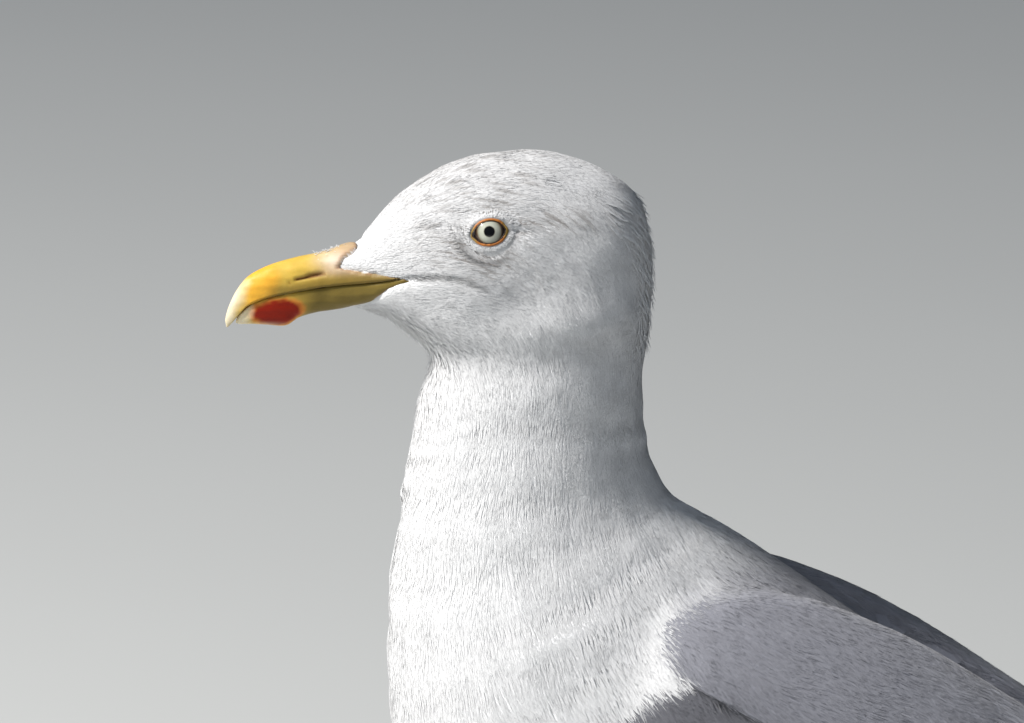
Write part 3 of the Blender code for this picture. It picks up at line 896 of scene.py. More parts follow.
# Distance along the body, then the tufts' length, width and spacing there.
TUFTS = [
    (0, 3.2, 0.46, 0.50), (30, 4.2, 0.46, 0.52), (60, 5.0, 0.50, 0.57), (90, 6.0, 0.52, 0.66),
    (120, 7.0, 0.56, 0.76), (185, 8.5, 0.66, 0.92), (240, 11.0, 0.9, 1.15), (320, 14.0, 1.6, 1.7),
    (420, 15.0, 2.2, 2.2), (590, 15.0, 2.2, 2.3),
]


def tuft_sizes(reach):
    """Length, width and spacing of the tufts, in millimetres."""
    table = np.array(TUFTS)
    return [np.interp(reach, table[:, 0], table[:, k]) for k in (1, 2, 3)]


# Where the face feathers end on the bill: height, and x there.
UPPER_EDGE = [
    (365.2, -35.5), (366.2, -44.4), (366.9, -53.0), (368.2, -60.0),
    (373.0, -56.7), (374.5, -53.1), (376, -50),
]
LOWER_EDGE = [(352.5, -60.0), (353.8, -56.6), (356.3, -47.4), (358.6, -46.9), (361.4, -44.1), (364.6, -36.0)]
MOUTH_Z = 364.9


def bill_root(points):
    """How far points lie behind the edge of the face feathers, in millimetres."""
    x, _, z = points.T
    ragged = 0.7 * ripple(points, 4.5, 31)
    upper = np.interp(z, *zip(*UPPER_EDGE))
    lower = np.interp(z, *zip(*LOWER_EDGE))
    return x - np.where(z > MOUTH_Z, upper, lower) + ragged


def lie(points, normals):
    """The way the feathers lie: along the body, round the eye, and never into the skin."""
    _, _, way = along_body(points)
    flow = np.stack([way[:, 0], np.zeros(len(points)), way[:, 1]], 1)
    back, up, out = in_eye(points).T
    edge = np.hypot(back / EYE_LONG, up / EYE_HIGH)
    pull = np.where(out > 0, np.exp(-(((edge - 1) / 1.1) ** 2)), 0.0)
    away = unit(np.stack([back / EYE_LONG**2, up / EYE_HIGH**2], 1)) @ EYE_AXES[:2]
    away *= to_own_side(points)
    flow = flow + away * (pull * 0.9)[:, None]
    flow = flow - normals * (flow * normals).sum(1)[:, None]
    return unit(flow)


def turned(way, normal, angle):
    """The ways, each turned on the surface by its own angle."""
    return way * np.cos(angle)[:, None] + np.cross(normal, way) * np.sin(angle)[:, None]


def shade_root(shade, along, across):
    """Feathers are a little darker at the root, where light doesn't reach."""
    return shade * (0.93 + 0.07 * along)[:, :, None]


def grow(name, keep, seed, stations=2, stand=0.0, wild=0.12, sizes=None):
    """A coat piece of tufts over the kept part of the skin. Stand lifts them, wild turns them by chance, and
    sizes (length, width, spacing) takes the place of the table's."""
    skin = skin_surface()
    spacing = sizes[2] if sizes else tuft_sizes(skin.reach)[2]
    place, normal = skin.scatter(spacing, keep, seed)
    reach, _, _ = along_body(place)
    length, width, _ = tuft_sizes(reach)
    if sizes:
        length, width = np.full(len(place), sizes[0]), np.full(len(place), sizes[1])
    edge = lid_distance(place)
    clear = (edge > 1.30) & (bill_root(place) > 0.3)
    place, normal, reach, edge = place[clear], normal[clear], reach[clear], edge[clear]
    length, width = length[clear], width[clear]
    count = len(place)
    rng = np.random.default_rng(seed + 100)
    chance = rng.random(count)
    near = 0.35 + 0.65 * ease(1.1, 4.5, edge) * ease(0, 14, bill_root(place))
    length = np.minimum(length, 1.0 + (edge - 1.3) * 5)
    length = length * near * rng.uniform(0.75, 1.25, count)
    width = width * np.sqrt(near) * rng.uniform(0.8, 1.25, count)
    way = turned(lie(place, normal), normal, rng.normal(0, wild, count) + 0.14 * ripple(place, 26, seed))
    depth = coat_depth(place, reach) * near
    clump = np.maximum(0, ripple(in_cells(place, *FEATHER_CELL), 1.0, seed + 3)) * ease(1.6, 3.0, edge)
    clump *= 1 - 0.5 * ease(80, 120, reach)
    crease = crease_depth(place)
    tip = depth * (0.9 + 0.2 * (chance - 0.5) + 1.1 * clump) + stand * rng.uniform(0.3, 1.3, count)
    middle = depth * (0.45 + 0.4 * clump) + 0.25 * stand
    shade = plumage_colour_and_shade(place + way * (length * 0.6)[:, None], chance, seed)
    # painted shade: tufts over the face's creases are darker, the deeper the crease the darker
    shade = shade * (1 - 0.65 * np.clip(crease, 0, 1))[:, None]
    template = tuft_template(stations)
    shape = lay(template, skin, place, normal, way, length, width, middle, tip, 0.2)
    return blades(name, template, shape, shade, body_map(place), feather_material(), shade_root)


def feather_material():
    return bpy.data.materials.get("plumage") or node_material("plumage", 0.85, feather_nodes(3.0, 0.0002))


class GULL_OT_head_coat(Operator):
    """Fine tufts over the face, crown, cheeks and nape"""

    bl_idname = "gull.head_coat"
    bl_label = "Head feathers"

    def execute(self, context):
        seed = context.scene.gull.seed
        skin = skin_surface()
        head = skin.reach < 88
        for name, side in SIDES:
            half = head & (skin.middle[:, 1] * side <= 0)
            grow(f"coat_head_{name}", half, seed + side)
        return {"FINISHED"}


class GULL_OT_neck_coat(Operator):
    """Longer tufts down the neck, with loose pointed ends on nape, chin and throat"""

    bl_idname = "gull.neck_coat"
    bl_label = "Neck feathers"

    def execute(self, context):
        seed = context.scene.gull.seed + 20
        skin = skin_surface()
        grow("coat_neck", (skin.reach >= 88) & (skin.reach < 185), seed, wild=0.08)
        turn = np.abs(np.arctan2(skin.middle[:, 1], skin.rise))
        x, _, z = skin.middle.T
        nape = (turn < 0.5) & (x > 27) & (z > 340) & (z < 392)
        grow("nape_points", nape, seed + 1, 3, 1.6, 0.16, (7.0, 0.9, 2.2))
        chin = (turn > 2.3) & (skin.reach > 16) & (skin.reach < 62)
        grow("chin_points", chin, seed + 2, 3, 1.2, 0.22, (5.0, 0.5, 1.8))
        throat = (turn > 2.75) & (skin.reach > 62) & (skin.reach < 92)
        grow("throat_points", throat, seed + 3, 3, 0.5, 0.2, (6.0, 0.45, 2.4))
        return {"FINISHED"}


class GULL_OT_body_coat(Operator):
    """Tufts over breast, flanks, belly, thighs and rump"""

    bl_idname = "gull.body_coat"
    bl_label = "Body feathers"

    def execute(self, context):
        seed = context.scene.gull.seed + 40
        skin = skin_surface()
        x = skin.middle[:, 0]
        winged = (over_line(skin.middle, WING_LOW) > 1) & (x > 60) & (x < 262) & ~on_rump(skin.middle)
        body = (skin.reach >= 185) & ~winged
        for name, side in SIDES:
            half = body & (skin.middle[:, 1] * side <= 0)
            front = half & (skin.reach < 330)
            grow(f"coat_breast_{name}", front, seed + side, wild=0.08)
            grow(f"coat_belly_{name}", half & ~front, seed + 4 + side)
        return {"FINISHED"}


# ---------------------------------------------------------------- mantle and wing coverts


VANES_START = 120  # vanes lie behind this, and barbs alone before it
MANTLE_BARBS_END = 152
COVERT_BARBS_END = 225
MANTLE_BARB = (9.0, 0.7, 0.95)  # length, width, spacing
COVERT_BARB = (8.0, 0.5, 1.6)
BORDER_TUFT = (11.0, 0.8, 1.0)
VANE_OVERLAP = 0.30  # spacing of the vanes, as a share of their length
VANE_WIDTH = 0.72  # of their length


def vane_length(x):
    return np.interp(x, [30, 70, 110, 160, 220, 270], [9, 12, 18, 26, 32, 30])


def vane_paint(shade, along, across):
    """A root painted darker as shade, where the vanes over it keep the light off, a darker shaft, and a
    slightly paler rim.
    """
    rim = np.clip(np.maximum(ease(0.86, 1.0, along), ease(0.36, 0.5, np.abs(across)) * 0.6), 0, 1)
    shaft = np.exp(-((across / 0.03) ** 2)) * 0.12
    return shade * (0.86 + 0.12 * along - shaft + 0.04 * rim)[:, :, None]


class GULL_OT_mantle(Operator):
    """Grey barbs over mantle and wing coverts, vanes under them behind, and the border's white tufts"""

    bl_idname = "gull.mantle"
    bl_label = "Mantle and coverts"

    def execute(self, context):
        seed = context.scene.gull.seed + 60
        skin = skin_surface()
        x, y, z = skin.middle.T
        behind = x - grey_start(skin.middle)
        wing = (over_line(skin.middle, WING_LOW) > -1) & (z > 112) & (x < 240) & ~on_rump(skin.middle)
        for name, side in SIDES:
            half = wing & (y * side <= 0)
            self.lay_vanes(f"mantle_{name}", skin, half & (x > VANES_START), seed + side)
            border = half & (behind > -30) & (behind < 9)
            grow(f"border_{name}", border, seed + 20 + side, 3, 0.25, sizes=BORDER_TUFT)
            barbs = half & (behind >= 9) & (x < MANTLE_BARBS_END)
            grow(f"mantle_barbs_{name}", barbs, seed + 10 + side, wild=0.1, sizes=MANTLE_BARB)
            loose = half & (x >= MANTLE_BARBS_END) & (x < COVERT_BARBS_END)
            grow(f"covert_barbs_{name}", loose, seed + 15 + side, wild=0.1, sizes=COVERT_BARB)
        return {"FINISHED"}

    def lay_vanes(self, name, skin, keep, seed):
        place, normal = skin.scatter(vane_length(skin.middle[:, 0]) * VANE_OVERLAP, keep, seed)
        rng = np.random.default_rng(seed)
        count = len(place)
        length = vane_length(place[:, 0]) * rng.uniform(0.85, 1.15, count)
        way = turned(lie(place, normal), normal, rng.normal(0, 0.07, count))
        chance = rng.random(count)
        shade = plumage_colour_and_shade(place + way * (length * 0.5)[:, None], chance, seed)
        template = vane_template(6, 4, 0.55, 0.02, 0.007)
        high = 0.24 + 0.04 * chance
        shape = draped(template, skin, place, normal, way, length, length * VANE_WIDTH, -0.15, high)
        spread = body_map(place)
        blades(name, template, shape, shade, spread, feather_material(), vane_paint)


# ---------------------------------------------------------------- flight feathers and tail


def curve_at(line, t):
    """Places along a line of points, by shares of its length in steps."""
    line = np.array(line, float)
    spot = np.clip(t, 0, 1) * (len(line) - 1)
    k = np.minimum(spot.astype(int), len(line) - 2)
    return line[k] + (line[k + 1] - line[k]) * (spot - k)[:, None]


# Wing tip of the left wing: upper edge and lower edge of the folded primaries.
TIP_UPPER = [
    (236, -33, 160), (268, -29, 147), (303, -24, 128), (343, -16, 108), (382, -10, 88), (418, -5, 67),
]
TIP_LOWER = [
    (236, -42, 136), (260, -37, 121), (297, -32, 113), (339, -26, 96), (379, -17, 77), (416, -8, 64),
]
TIP_OUT = unit(np.array([0.15, -0.8, 0.58]))  # out of the wing tip's face
PRIMARY_ENDS = (0.34, 0.50, 0.64, 0.77, 0.89, 1.0)  # where each primary's tip lies along the wing tip


def quill_paint(ground, tip_tone, tip_start, mirror=False):
    """Paint of a long feather: its ground, a darker shaft, a white end and, on the longest, a white spot."""

    def paint(shade, along, across):
        tone = np.broadcast_to(np.array(ground), shade.shape) * (0.9 + 0.2 * np.abs(across))[:, :, None]
        white = ease(tip_start - 0.008, tip_start + 0.008, along - 0.08 * across * across)
        if mirror:
            white = np.maximum(white, ease(0.78, 0.80, along) * (1 - ease(0.87, 0.89, along)))
        shaft = np.exp(-((across / 0.05) ** 2))
        tone = tone * (1 - shaft * 0.25)[:, :, None]
        return tone + (np.array(tip_tone) - tone) * white[:, :, None]

    return paint


class GULL_OT_primaries(Operator):
    """Black wing-tip feathers, stacked, each with its white end"""

    bl_idname = "gull.primaries"
    bl_label = "Primaries"

    def execute(self, context):
        for name, side in SIDES:
            for number, end in enumerate(PRIMARY_ENDS):
                self.add(f"primary_{number + 1}_{name}", side, number, end)
            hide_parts(f"primaries_{name}")
        return {"FINISHED"}

    def add(self, name, side, number, end):
        t = np.array([0.0, 0.5 * end, end])
        above = len(PRIMARY_ENDS) - 1 - number  # the shorter ones lie over the longer
        share = 0.62 + 0.05 * above
        place = curve_at(TIP_LOWER, t) * (1 - share) + curve_at(TIP_UPPER, t) * share
        place = place + TIP_OUT * np.array([-9.0, 0.75 * above - 2.0, 0.5 * above - 1.0])[:, None]
        root, middle, tip = (mirrored(place[k : k + 1], side) for k in range(3))
        up = mirrored(TIP_OUT[None], side)
        longest = above == 0
        paint = quill_paint(BLACK, WHITE, 1 - (0.02 if longest else 0.05) / end, mirror=longest)
        template = quill_template(14)
        shape = on_curve(template, root, middle, tip, up, up, 15.0 + 0.5 * above)
        plain, spread = np.ones((1, 3)), body_map(middle)
        blades(name, template, shape, plain, spread, quill_material(), paint)


def quill_template(rows, camber=0.12):
    """A long closed blade with near-parallel sides and a rounded point."""
    bm = bmesh.new()
    bmesh.ops.create_grid(bm, x_segments=rows, y_segments=4, size=0.5)
    for vert in bm.verts:
        along, across = vert.co.x + 0.5, vert.co.y
        along = 1 - (1 - along) ** 1.5
        point = math.sqrt(max(0.0, 1 - max(0.0, (along - 0.72) / 0.28) ** 2.2))
        wide = (0.35 + 0.65 * min(1.0, along / 0.3)) * point
        vert.co = (along, across * max(wide, 0.03), camber * (0.25 - across * across) * wide)
    bmesh.ops.solidify(bm, geom=bm.faces, thickness=0.035)
    bmesh.ops.recalc_face_normals(bm, faces=bm.faces)
    return template_arrays(bm)


def quill_material():
    return bpy.data.materials.get("quill") or node_material("quill", 0.5, feather_nodes(30.0, 0.0002))


# Roots of the left wing's tertials, top to bottom, and the length of each feather.
TERTIAL_TOP = np.array([(196, -17, 200)])
TERTIAL_LOW = np.array([(184, -58, 147)])
TERTIAL_LENGTHS = np.array([66, 72, 76, 74, 68, 60, 52.0])
TERTIAL_WIDTH = 21.0


class GULL_OT_tertials(Operator):
    """Long grey feathers that close the wing behind, with white ends"""

    bl_idname = "gull.tertials"
    bl_label = "Tertials and secondaries"

    def execute(self, context):
        skin = skin_surface()
        for name, side in SIDES:
            count = len(TERTIAL_LENGTHS)
            rows = np.linspace(0, 1, count)[:, None]
            place = TERTIAL_TOP * (1 - rows) + TERTIAL_LOW * rows
            root, normal = skin.nearest(mirrored(place, side))
            half = (TERTIAL_LENGTHS * 0.5)[:, None]
            lift = 2.6 - 0.32 * np.arange(count)
            middle, mid_normal = skin.nearest(root + lie(root, normal) * half)
            middle = middle + mid_normal * lift[:, None]
            # from the middle on they run straight, past the end of the wing
            tip = middle + lie(middle, mid_normal) * half
            template = quill_template(12)
            facing = unit(normal + mid_normal)
            shape = on_curve(template, root, middle, tip, facing, mid_normal, TERTIAL_WIDTH)
            blades(
                f"tertials_{name}", template, shape, np.ones((count, 3)), body_map(root), quill_material(),
                quill_paint(GREY, WHITE, 0.88),
            )
        return {"FINISHED"}


TAIL_FEATHERS = 12
TAIL_FEATHER_WIDTH = 17.0


class GULL_OT_tail(Operator):
    """Twelve white tail feathers, lightly fanned"""

    bl_idname = "gull.tail"
    bl_label = "Tail"

    def execute(self, context):
        spread = np.linspace(-1, 1, TAIL_FEATHERS)
        order = np.abs(spread)
        root = np.stack([np.full(TAIL_FEATHERS, 262.0), spread * 12, 122 - 3 * order], 1)
        tip = np.stack([370 - 4 * order, spread * 24, 71.5 - 1.5 * order], 1)
        out = unit(np.array([[0.44, 0.0, 0.90]])) + np.stack([0 * spread, 0.12 * spread, 0 * spread], 1)
        rise = (1 - order)[:, None] * 2.4
        middle = (root + tip) / 2 + (0, 0, 0.5)
        root, middle, tip = (place + out * rise for place in (root, middle, tip))
        white = np.array(WHITE) * 0.97
        template = quill_template(14, 0.05)
        shape = on_curve(template, root, middle, tip, unit(out), unit(out), TAIL_FEATHER_WIDTH)
        plain, spread = np.ones((TAIL_FEATHERS, 3)), body_map(middle)
        made = blades(
            "tail_feathers", template, shape, plain, spread, quill_material(),
            quill_paint(white, white, 2.0),
        )
        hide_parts("tail")
        return {"FINISHED"}


# ---------------------------------------------------------------- legs


def leg_nodes(tree, shader):
    n = Nodes(tree)
    colour, _ = n.attribute("plumage")
    cells = n.add("ShaderNodeTexVoronoi", feature="DISTANCE_TO_EDGE")
    n.put(cells, "Vector", n.place())
    n.put(cells, "Scale", 620.0)
    broad = n.noise(n.place(), 110.0, 3.0, 0.55)
    plate = n.math("MINIMUM", n.math("MULTIPLY", cells.outputs["Distance"], 6.0), 1.0)
    tone = n.math("MULTIPLY", n.span(plate, 0.72, 1.03), n.span(broad, 0.85, 1.12))
    n.put(shader, "Base Color", n.scaled(colour, tone))
    n.put(shader, "Normal", n.bump(plate, 0.6, 0.0004))
    shader.inputs["Specular IOR Level"].default_value = 0.35


def claw_nodes(tree, shader):
    n = Nodes(tree)
    streaks = n.noise(n.place(), 700.0, 3.0, 0.6)
    n.put(shader, "Base Color", n.mix(streaks, (0.012, 0.010, 0.009, 1), (0.085, 0.062, 0.050, 1)))
    n.put(shader, "Normal", n.bump(streaks, 0.3, 0.0002))


SCUTE = 2.3  # height of one scale of the shank
TOE_SCALE = 2.0  # length of one scale of a toe
SOLE = 0.9  # under this height the foot stays flat


def scale_grooves(points, normals):
    """Depth of the grooves between the shank's front scales and those along the toes."""
    x, _, z = points.T
    shank = ease(8, 16, z)
    scutes = np.abs(((z / SCUTE + 0.4 * np.sin(x)) % 1) - 0.5) * 2
    upper = ease(1.4, 2.6, z)
    toes = np.abs(((x / TOE_SCALE) % 1) - 0.5) * 2 * (1 - shank) * upper * np.maximum(normals[:, 2], 0)
    front = np.maximum(-normals[:, 0], 0) * shank
    drop = 0.32 * (1 - scutes**2) ** 3 * front + 0.25 * (1 - toes**2) ** 3 * (1 - shank) * upper
    return np.where(z < SOLE, 0, drop)


class GULL_OT_legs(Operator):
    """Pink shanks, toes and webs with their scales; the claws keep their solids"""

    bl_idname = "gull.legs"
    bl_label = "Legs"

    def execute(self, context):
        settings = context.scene.gull
        material = node_material("leg_skin", 0.5, leg_nodes)
        claw = node_material("claw_horn", 0.35, claw_nodes)
        for name, _ in SIDES:
            bm = voxel_remeshed(nodes_mesh([f"shank_{name}", f"foot_{name}"]), settings.leg_grain)
            smooth(bm, 2)
            points, normals = points_of(bm), normals_of(bm)
            points = points - normals * scale_grooves(points, normals)[:, None]
            points[:, 2] = np.maximum(points[:, 2], 0.0)
            place_points(bm, points)
            bmesh.ops.triangulate(bm, faces=bm.faces)
            leg = new_object(f"leg_{name}", bm, material)
            points, _ = mesh_arrays(leg.data)
            tone = np.outer(1 + 0.05 * ripple(points, 8, 51), tuple(settings.leg_pink))
            tone = blend(tone, (0.42, 0.25, 0.22), 0.4 * ease(0.2, 0.9, ripple(points, 14, 52)))
            paint_points(leg.data, blend(tone, (0.30, 0.19, 0.16), ease(1.2, 0.3, points[:, 2]) * 0.5))
            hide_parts(f"shank_{name}", f"foot_{name}")
            for toe in ("inner", "middle", "outer"):
                bpy.data.objects[f"claw_{toe}_{name}"].data.materials[0] = claw
        return {"FINISHED"}


# ---------------------------------------------------------------- eyes


PUPIL_RISE = 0.25
CORNEA_RISE = 0.55
CORNEA_SPREAD = 3.6
# Spread from the opening's centre (1 is the lids' edge), half width, half height, lift and bead of each band.
EYE_RING = (1.19, 0.62, 0.36, 0.26, 0.16)
EYE_RIM = (1.03, 0.30, 0.26, 0.12, 0.0)
BRISTLES = 620


def eye_nodes(centre, axes, iris):
    """Pupil, iris and the dark of the eyeball, by distance from the eye's axis."""

    def build(tree, shader):
        n = Nodes(tree)
        place = n.add("ShaderNodeVectorMath", operation="SUBTRACT")
        n.put(place, 0, n.place())
        n.put(place, 1, tuple(centre))
        reach = []
        for axis in axes[:2]:
            dot = n.add("ShaderNodeVectorMath", operation="DOT_PRODUCT")
            n.put(dot, 0, place.outputs[0])
            n.put(dot, 1, tuple(axis * 1000.0))
            reach.append(dot.outputs["Value"])
        back, up = reach
        higher = n.math("SUBTRACT", up, PUPIL_RISE)
        squares = n.math("ADD", n.math("MULTIPLY", back, back), n.math("MULTIPLY", higher, higher))
        pupil = n.math("SQRT", squares)
        turn = n.math("ARCTAN2", higher, back)
        cell = n.add("ShaderNodeCombineXYZ")
        n.put(cell, "X", n.math("MULTIPLY", turn, 9.0))
        n.put(cell, "Y", n.math("MULTIPLY", pupil, 0.5))
        fibres = n.noise(cell.outputs[0], 1.6, 3.0, 0.6)
        ramp = n.add("ShaderNodeValToRGB")
        n.put(ramp, "Fac", n.math("DIVIDE", n.math("ADD", pupil, n.span(fibres, -0.12, 0.12)), 6.0))
        stops = [
            (0.0, (0.003, 0.003, 0.003)), (0.285, (0.003, 0.003, 0.003)), (0.315, (0.30, 0.30, 0.24)),
            (0.36, iris), (0.52, (0.37, 0.38, 0.315)), (0.62, (0.24, 0.235, 0.18)),
            (0.675, (0.10, 0.065, 0.035)), (0.74, (0.018, 0.010, 0.007)), (1.0, (0.010, 0.006, 0.005)),
        ]
        while len(ramp.color_ramp.elements) < len(stops):
            ramp.color_ramp.elements.new(0.5)
        for mark, (spot, tone) in zip(ramp.color_ramp.elements, stops):
            mark.position = spot
            mark.color = (*tone, 1)
        n.put(shader, "Base Color", n.scaled(ramp.outputs["Color"], n.span(fibres, 0.78, 1.12)))
        shader.inputs["Coat Weight"].default_value = 0.7
        shader.inputs["Coat Roughness"].default_value = 0.03
        shader.inputs["Specular IOR Level"].default_value = 0.1

    return build


def lid_place(turn, spread, lift):
    """Places round the eye opening: turn 0 is its rear corner; spread 1 is the lids' edge."""
    corner = 1 + 0.13 * np.exp(-((np.abs(np.angle(np.exp(1j * (turn - math.pi)))) / 0.3) ** 2))
    corner = corner + 0.07 * np.exp(-((np.abs(np.angle(np.exp(1j * turn))) / 0.25) ** 2))
    back = EYE_LONG * corner * np.cos(turn) * spread
    up = EYE_HIGH * np.sin(turn) * spread
    ball = np.sqrt(np.maximum(EYE_RADIUS**2 - np.minimum(back**2 + up**2, 55.0), 1))
    out = ball + lift + 4.0 * (corner - 1)
    return EYE + np.stack([back, up, out], -1) @ EYE_AXES


def ring_round_eye(spread, wide, high, lift, bead, side, steps=160, around=10):
    """A closed soft-edged band round the eye opening."""
    bm = bmesh.new()
    bmesh.ops.create_grid(bm, x_segments=steps, y_segments=around, size=0.5)
    grid = np.array([vert.co for vert in bm.verts])
    turn = (grid[:, 0] + 0.5) * 2 * math.pi
    tube = (grid[:, 1] + 0.5) * 2 * math.pi
    lump = 1 + bead * np.sin(turn * 17 + 2 * np.sin(turn * 5)) * np.sin(turn * 29)
    across = wide * lump * np.cos(tube)
    place = lid_place(turn, spread + across / 4.4, lift + high * lump * np.sin(tube))
    for vert, spot in zip(bm.verts, to_frame(mirrored(place, side))):
        vert.co = spot
    bmesh.ops.remove_doubles(bm, verts=bm.verts, dist=2e-6)
    bmesh.ops.recalc_face_normals(bm, faces=bm.faces)
    return bm


def lid_skin(n, shader):
    """Fine bumps and a moist gloss for the bare skin round the eye. Returns its spots."""
    spots = n.noise(n.place(), 1500.0, 3.0, 0.6)
    n.put(shader, "Normal", n.bump(n.noise(n.place(), 3200.0, 3.0, 0.6), 0.6, 0.0002))
    shader.inputs["Specular IOR Level"].default_value = 0.4
    return spots


def rim_nodes(tree, shader):
    n = Nodes(tree)
    spots = n.span(lid_skin(n, shader), -0.4, 1.4)
    n.put(shader, "Base Color", n.mix(spots, (0.012, 0.007, 0.005, 1), (0.035, 0.018, 0.010, 1)))


def ring_nodes(tree, shader):
    n = Nodes(tree)
    colour, _ = n.attribute("plumage")
    n.put(shader, "Base Color", n.scaled(colour, n.span(lid_skin(n, shader), 0.45, 1.35)))


class GULL_OT_eyes(Operator):
    """Eyeballs with iris and pupil, the orange rings round them and the dark rims of the lids"""

    bl_idname = "gull.eyes"
    bl_label = "Eyes"

    def execute(self, context):
        settings = context.scene.gull
        ring = node_material("eye_ring", 0.45, ring_nodes)
        rim = node_material("eye_rim", 0.3, rim_nodes)
        for name, side in SIDES:
            centre = to_frame([mirrored(EYE, side)])[0]
            axes = EYE_AXES * (1, side, 1)
            bm = bmesh.new()
            bmesh.ops.create_uvsphere(bm, u_segments=72, v_segments=48, radius=EYE_RADIUS)
            turn = Vector((0, 0, 1)).rotation_difference(Vector(axes[2])).to_matrix()
            for vert in bm.verts:
                rounder = math.hypot(vert.co.x, vert.co.y)
                if vert.co.z > 0:
                    vert.co.z += CORNEA_RISE * math.exp(-((rounder / CORNEA_SPREAD) ** 2))
                vert.co = Vector(centre) + (turn @ vert.co) * 0.001
            ball = node_material(f"eye_{name}", 0.25, eye_nodes(centre, axes, tuple(settings.iris)))
            eye = new_object(f"eyeball_{name}", bm, ball)
            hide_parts(f"eye_{name}")
            made = new_object(f"eye_ring_{name}", ring_round_eye(*EYE_RING, side), ring)
            points = mirrored(mesh_arrays(made.data)[0], side)
            back = in_eye(points)[:, 0]
            corner = ease(0.80, 1.05, np.abs(back) / EYE_LONG)
            tones = np.outer(np.ones(len(points)), tuple(settings.eye_ring))
            paint_points(made.data, blend(tones, (0.25, 0.155, 0.03), corner))
            new_object(f"eye_rim_{name}", ring_round_eye(*EYE_RIM, side), rim)
            self.bristles(f"eye_bristles_{name}", side, settings.seed)
        return {"FINISHED"}

    def bristles(self, name, side, seed):
        """Tiny tufts standing round the lids: a white crescent above, a fringe below."""
        rng = np.random.default_rng(seed)
        count = BRISTLES
        turn = rng.uniform(0, 2 * math.pi, count)
        above = np.sin(turn) > 0.1
        start = np.where(above, rng.uniform(1.30, 1.80, count), rng.uniform(1.30, 1.50, count))
        skin = skin_surface()
        seen = mirrored(lid_place(turn, start, 0.4), side)
        beyond = mirrored(lid_place(turn + rng.normal(0, 0.05, count), start + 0.3, 0.4), side)
        root, normal = skin.nearest(seen)
        way = beyond - seen
        way = unit(way - normal * (way * normal).sum(1)[:, None])
        size = np.where(above, 1.3, 1.0) * rng.uniform(0.8, 1.2, count)
        lift = np.where(above, 0.42, 0.30)
        width = rng.uniform(0.26, 0.40, count)
        shade = np.outer(rng.uniform(0.86, 1.05, count), WHITE)
        template = tuft_template(2)
        shape = lay(template, skin, root, normal, way, size, width, lift, lift * 0.9, 0.15)
        blades(name, template, shape, shade, body_map(root), feather_material(), shade_root)


# ---------------------------------------------------------------- bill

# Ridge x, z; cutting edge x, z; half width at the edge.
UPPER_BILL = [
    (-33.0, 367.4, -32.0, 366.2, 17.0), (-39.5, 368.9, -38.0, 366.0, 15.9),
    (-46.5, 371.6, -43.0, 364.9, 13.9), (-53.5, 375.0, -49.5, 363.6, 11.2),
    (-61.4, 372.8, -60.4, 362.2, 7.9), (-67.0, 371.6, -66.5, 361.3, 6.9), (-72.7, 370.6, -72.6, 360.2, 6.2),
    (-81.0, 368.4, -80.7, 358.6, 5.2), (-88.1, 365.0, -86.5, 356.8, 4.3), (-92.1, 360.7, -89.3, 355.2, 3.5),
    (-94.9, 355.4, -91.8, 352.6, 2.6), (-96.4, 350.5, -94.0, 349.6, 1.3), (-96.1, 347.5, -95.5, 347.7, 0.3),
]
# Cutting edge x, z; keel x, z; half width at the edge.
LOWER_BILL = [
    (-33.0, 365.9, -34.5, 363.4, 16.8), (-38.0, 365.5, -39.5, 361.4, 15.6),
    (-43.0, 364.5, -44.5, 357.8, 13.4), (-49.5, 363.3, -50.6, 354.6, 10.6),
    (-60.4, 362.0, -60.2, 352.8, 7.4), (-66.5, 361.1, -66.2, 351.9, 6.4), (-72.6, 360.0, -71.9, 350.3, 5.7),
    (-78.0, 359.0, -76.4, 347.7, 5.2), (-83.0, 357.8, -82.6, 348.1, 4.4), (-87.5, 356.0, -87.6, 348.5, 3.2),
    (-91.0, 352.8, -91.4, 348.5, 1.7), (-92.6, 350.5, -92.9, 348.9, 0.4),
]
BILL_STEPS = 14  # rings from each row of a table to the next
OUTSIDE_CORNERS = 41
INSIDE_CORNERS = 11
NOSTRIL = ((-75.7, 363.3), (-63.8, 366.4))
RED_SPOT = (-79.6, 353.0)
DOWN_SCRAPS = 60


def bill_ring(start, end, edge_x, wide, angle, down, fullness, inner):
    """One ring of a mandible: an outside from start to end (x, z), an inside at inner's heights."""
    side = np.sign(angle) * np.abs(np.sin(angle)) ** fullness
    outside = [start[0] + (end[0] - start[0]) * down, wide * side, start[1] + (end[1] - start[1]) * down]
    across = np.linspace(1, -1, INSIDE_CORNERS + 2)[1:-1] * math.copysign(1, angle[-1])
    inside = [np.full(INSIDE_CORNERS, edge_x), wide * across * 0.97, inner(across)]
    return np.vstack([np.stack(outside, 1), np.stack(inside, 1)])


def upper_ring(row):
    """Round ridge, sides running out to a sharp edge, hollow palate."""
    ridge, edge, wide = row[0:2], row[2:4], row[4]
    arch = min(1.2, (ridge[1] - edge[1]) * 0.2)
    angle = np.linspace(-math.pi / 2, math.pi / 2, OUTSIDE_CORNERS)
    down = 1 - np.cos(angle) ** 0.92
    palate = lambda b: edge[1] + arch * (1 - b**4) + 0.05
    return bill_ring(ridge, edge, edge[0], wide, angle, down, 0.9, palate)


def lower_ring(row):
    """Sharp edge, sides running in to a round keel, hollow floor."""
    edge, keel, wide = row[0:2], row[2:4], row[4]
    dip = min(0.5, (edge[1] - keel[1]) * 0.1)
    angle = np.linspace(math.pi / 2, -math.pi / 2, OUTSIDE_CORNERS)
    down = np.cos(angle) ** 0.75
    mouth_floor = lambda b: edge[1] - dip * (1 - b**4)
    return bill_ring(edge, keel, edge[0], wide, angle, down, 0.8, mouth_floor)


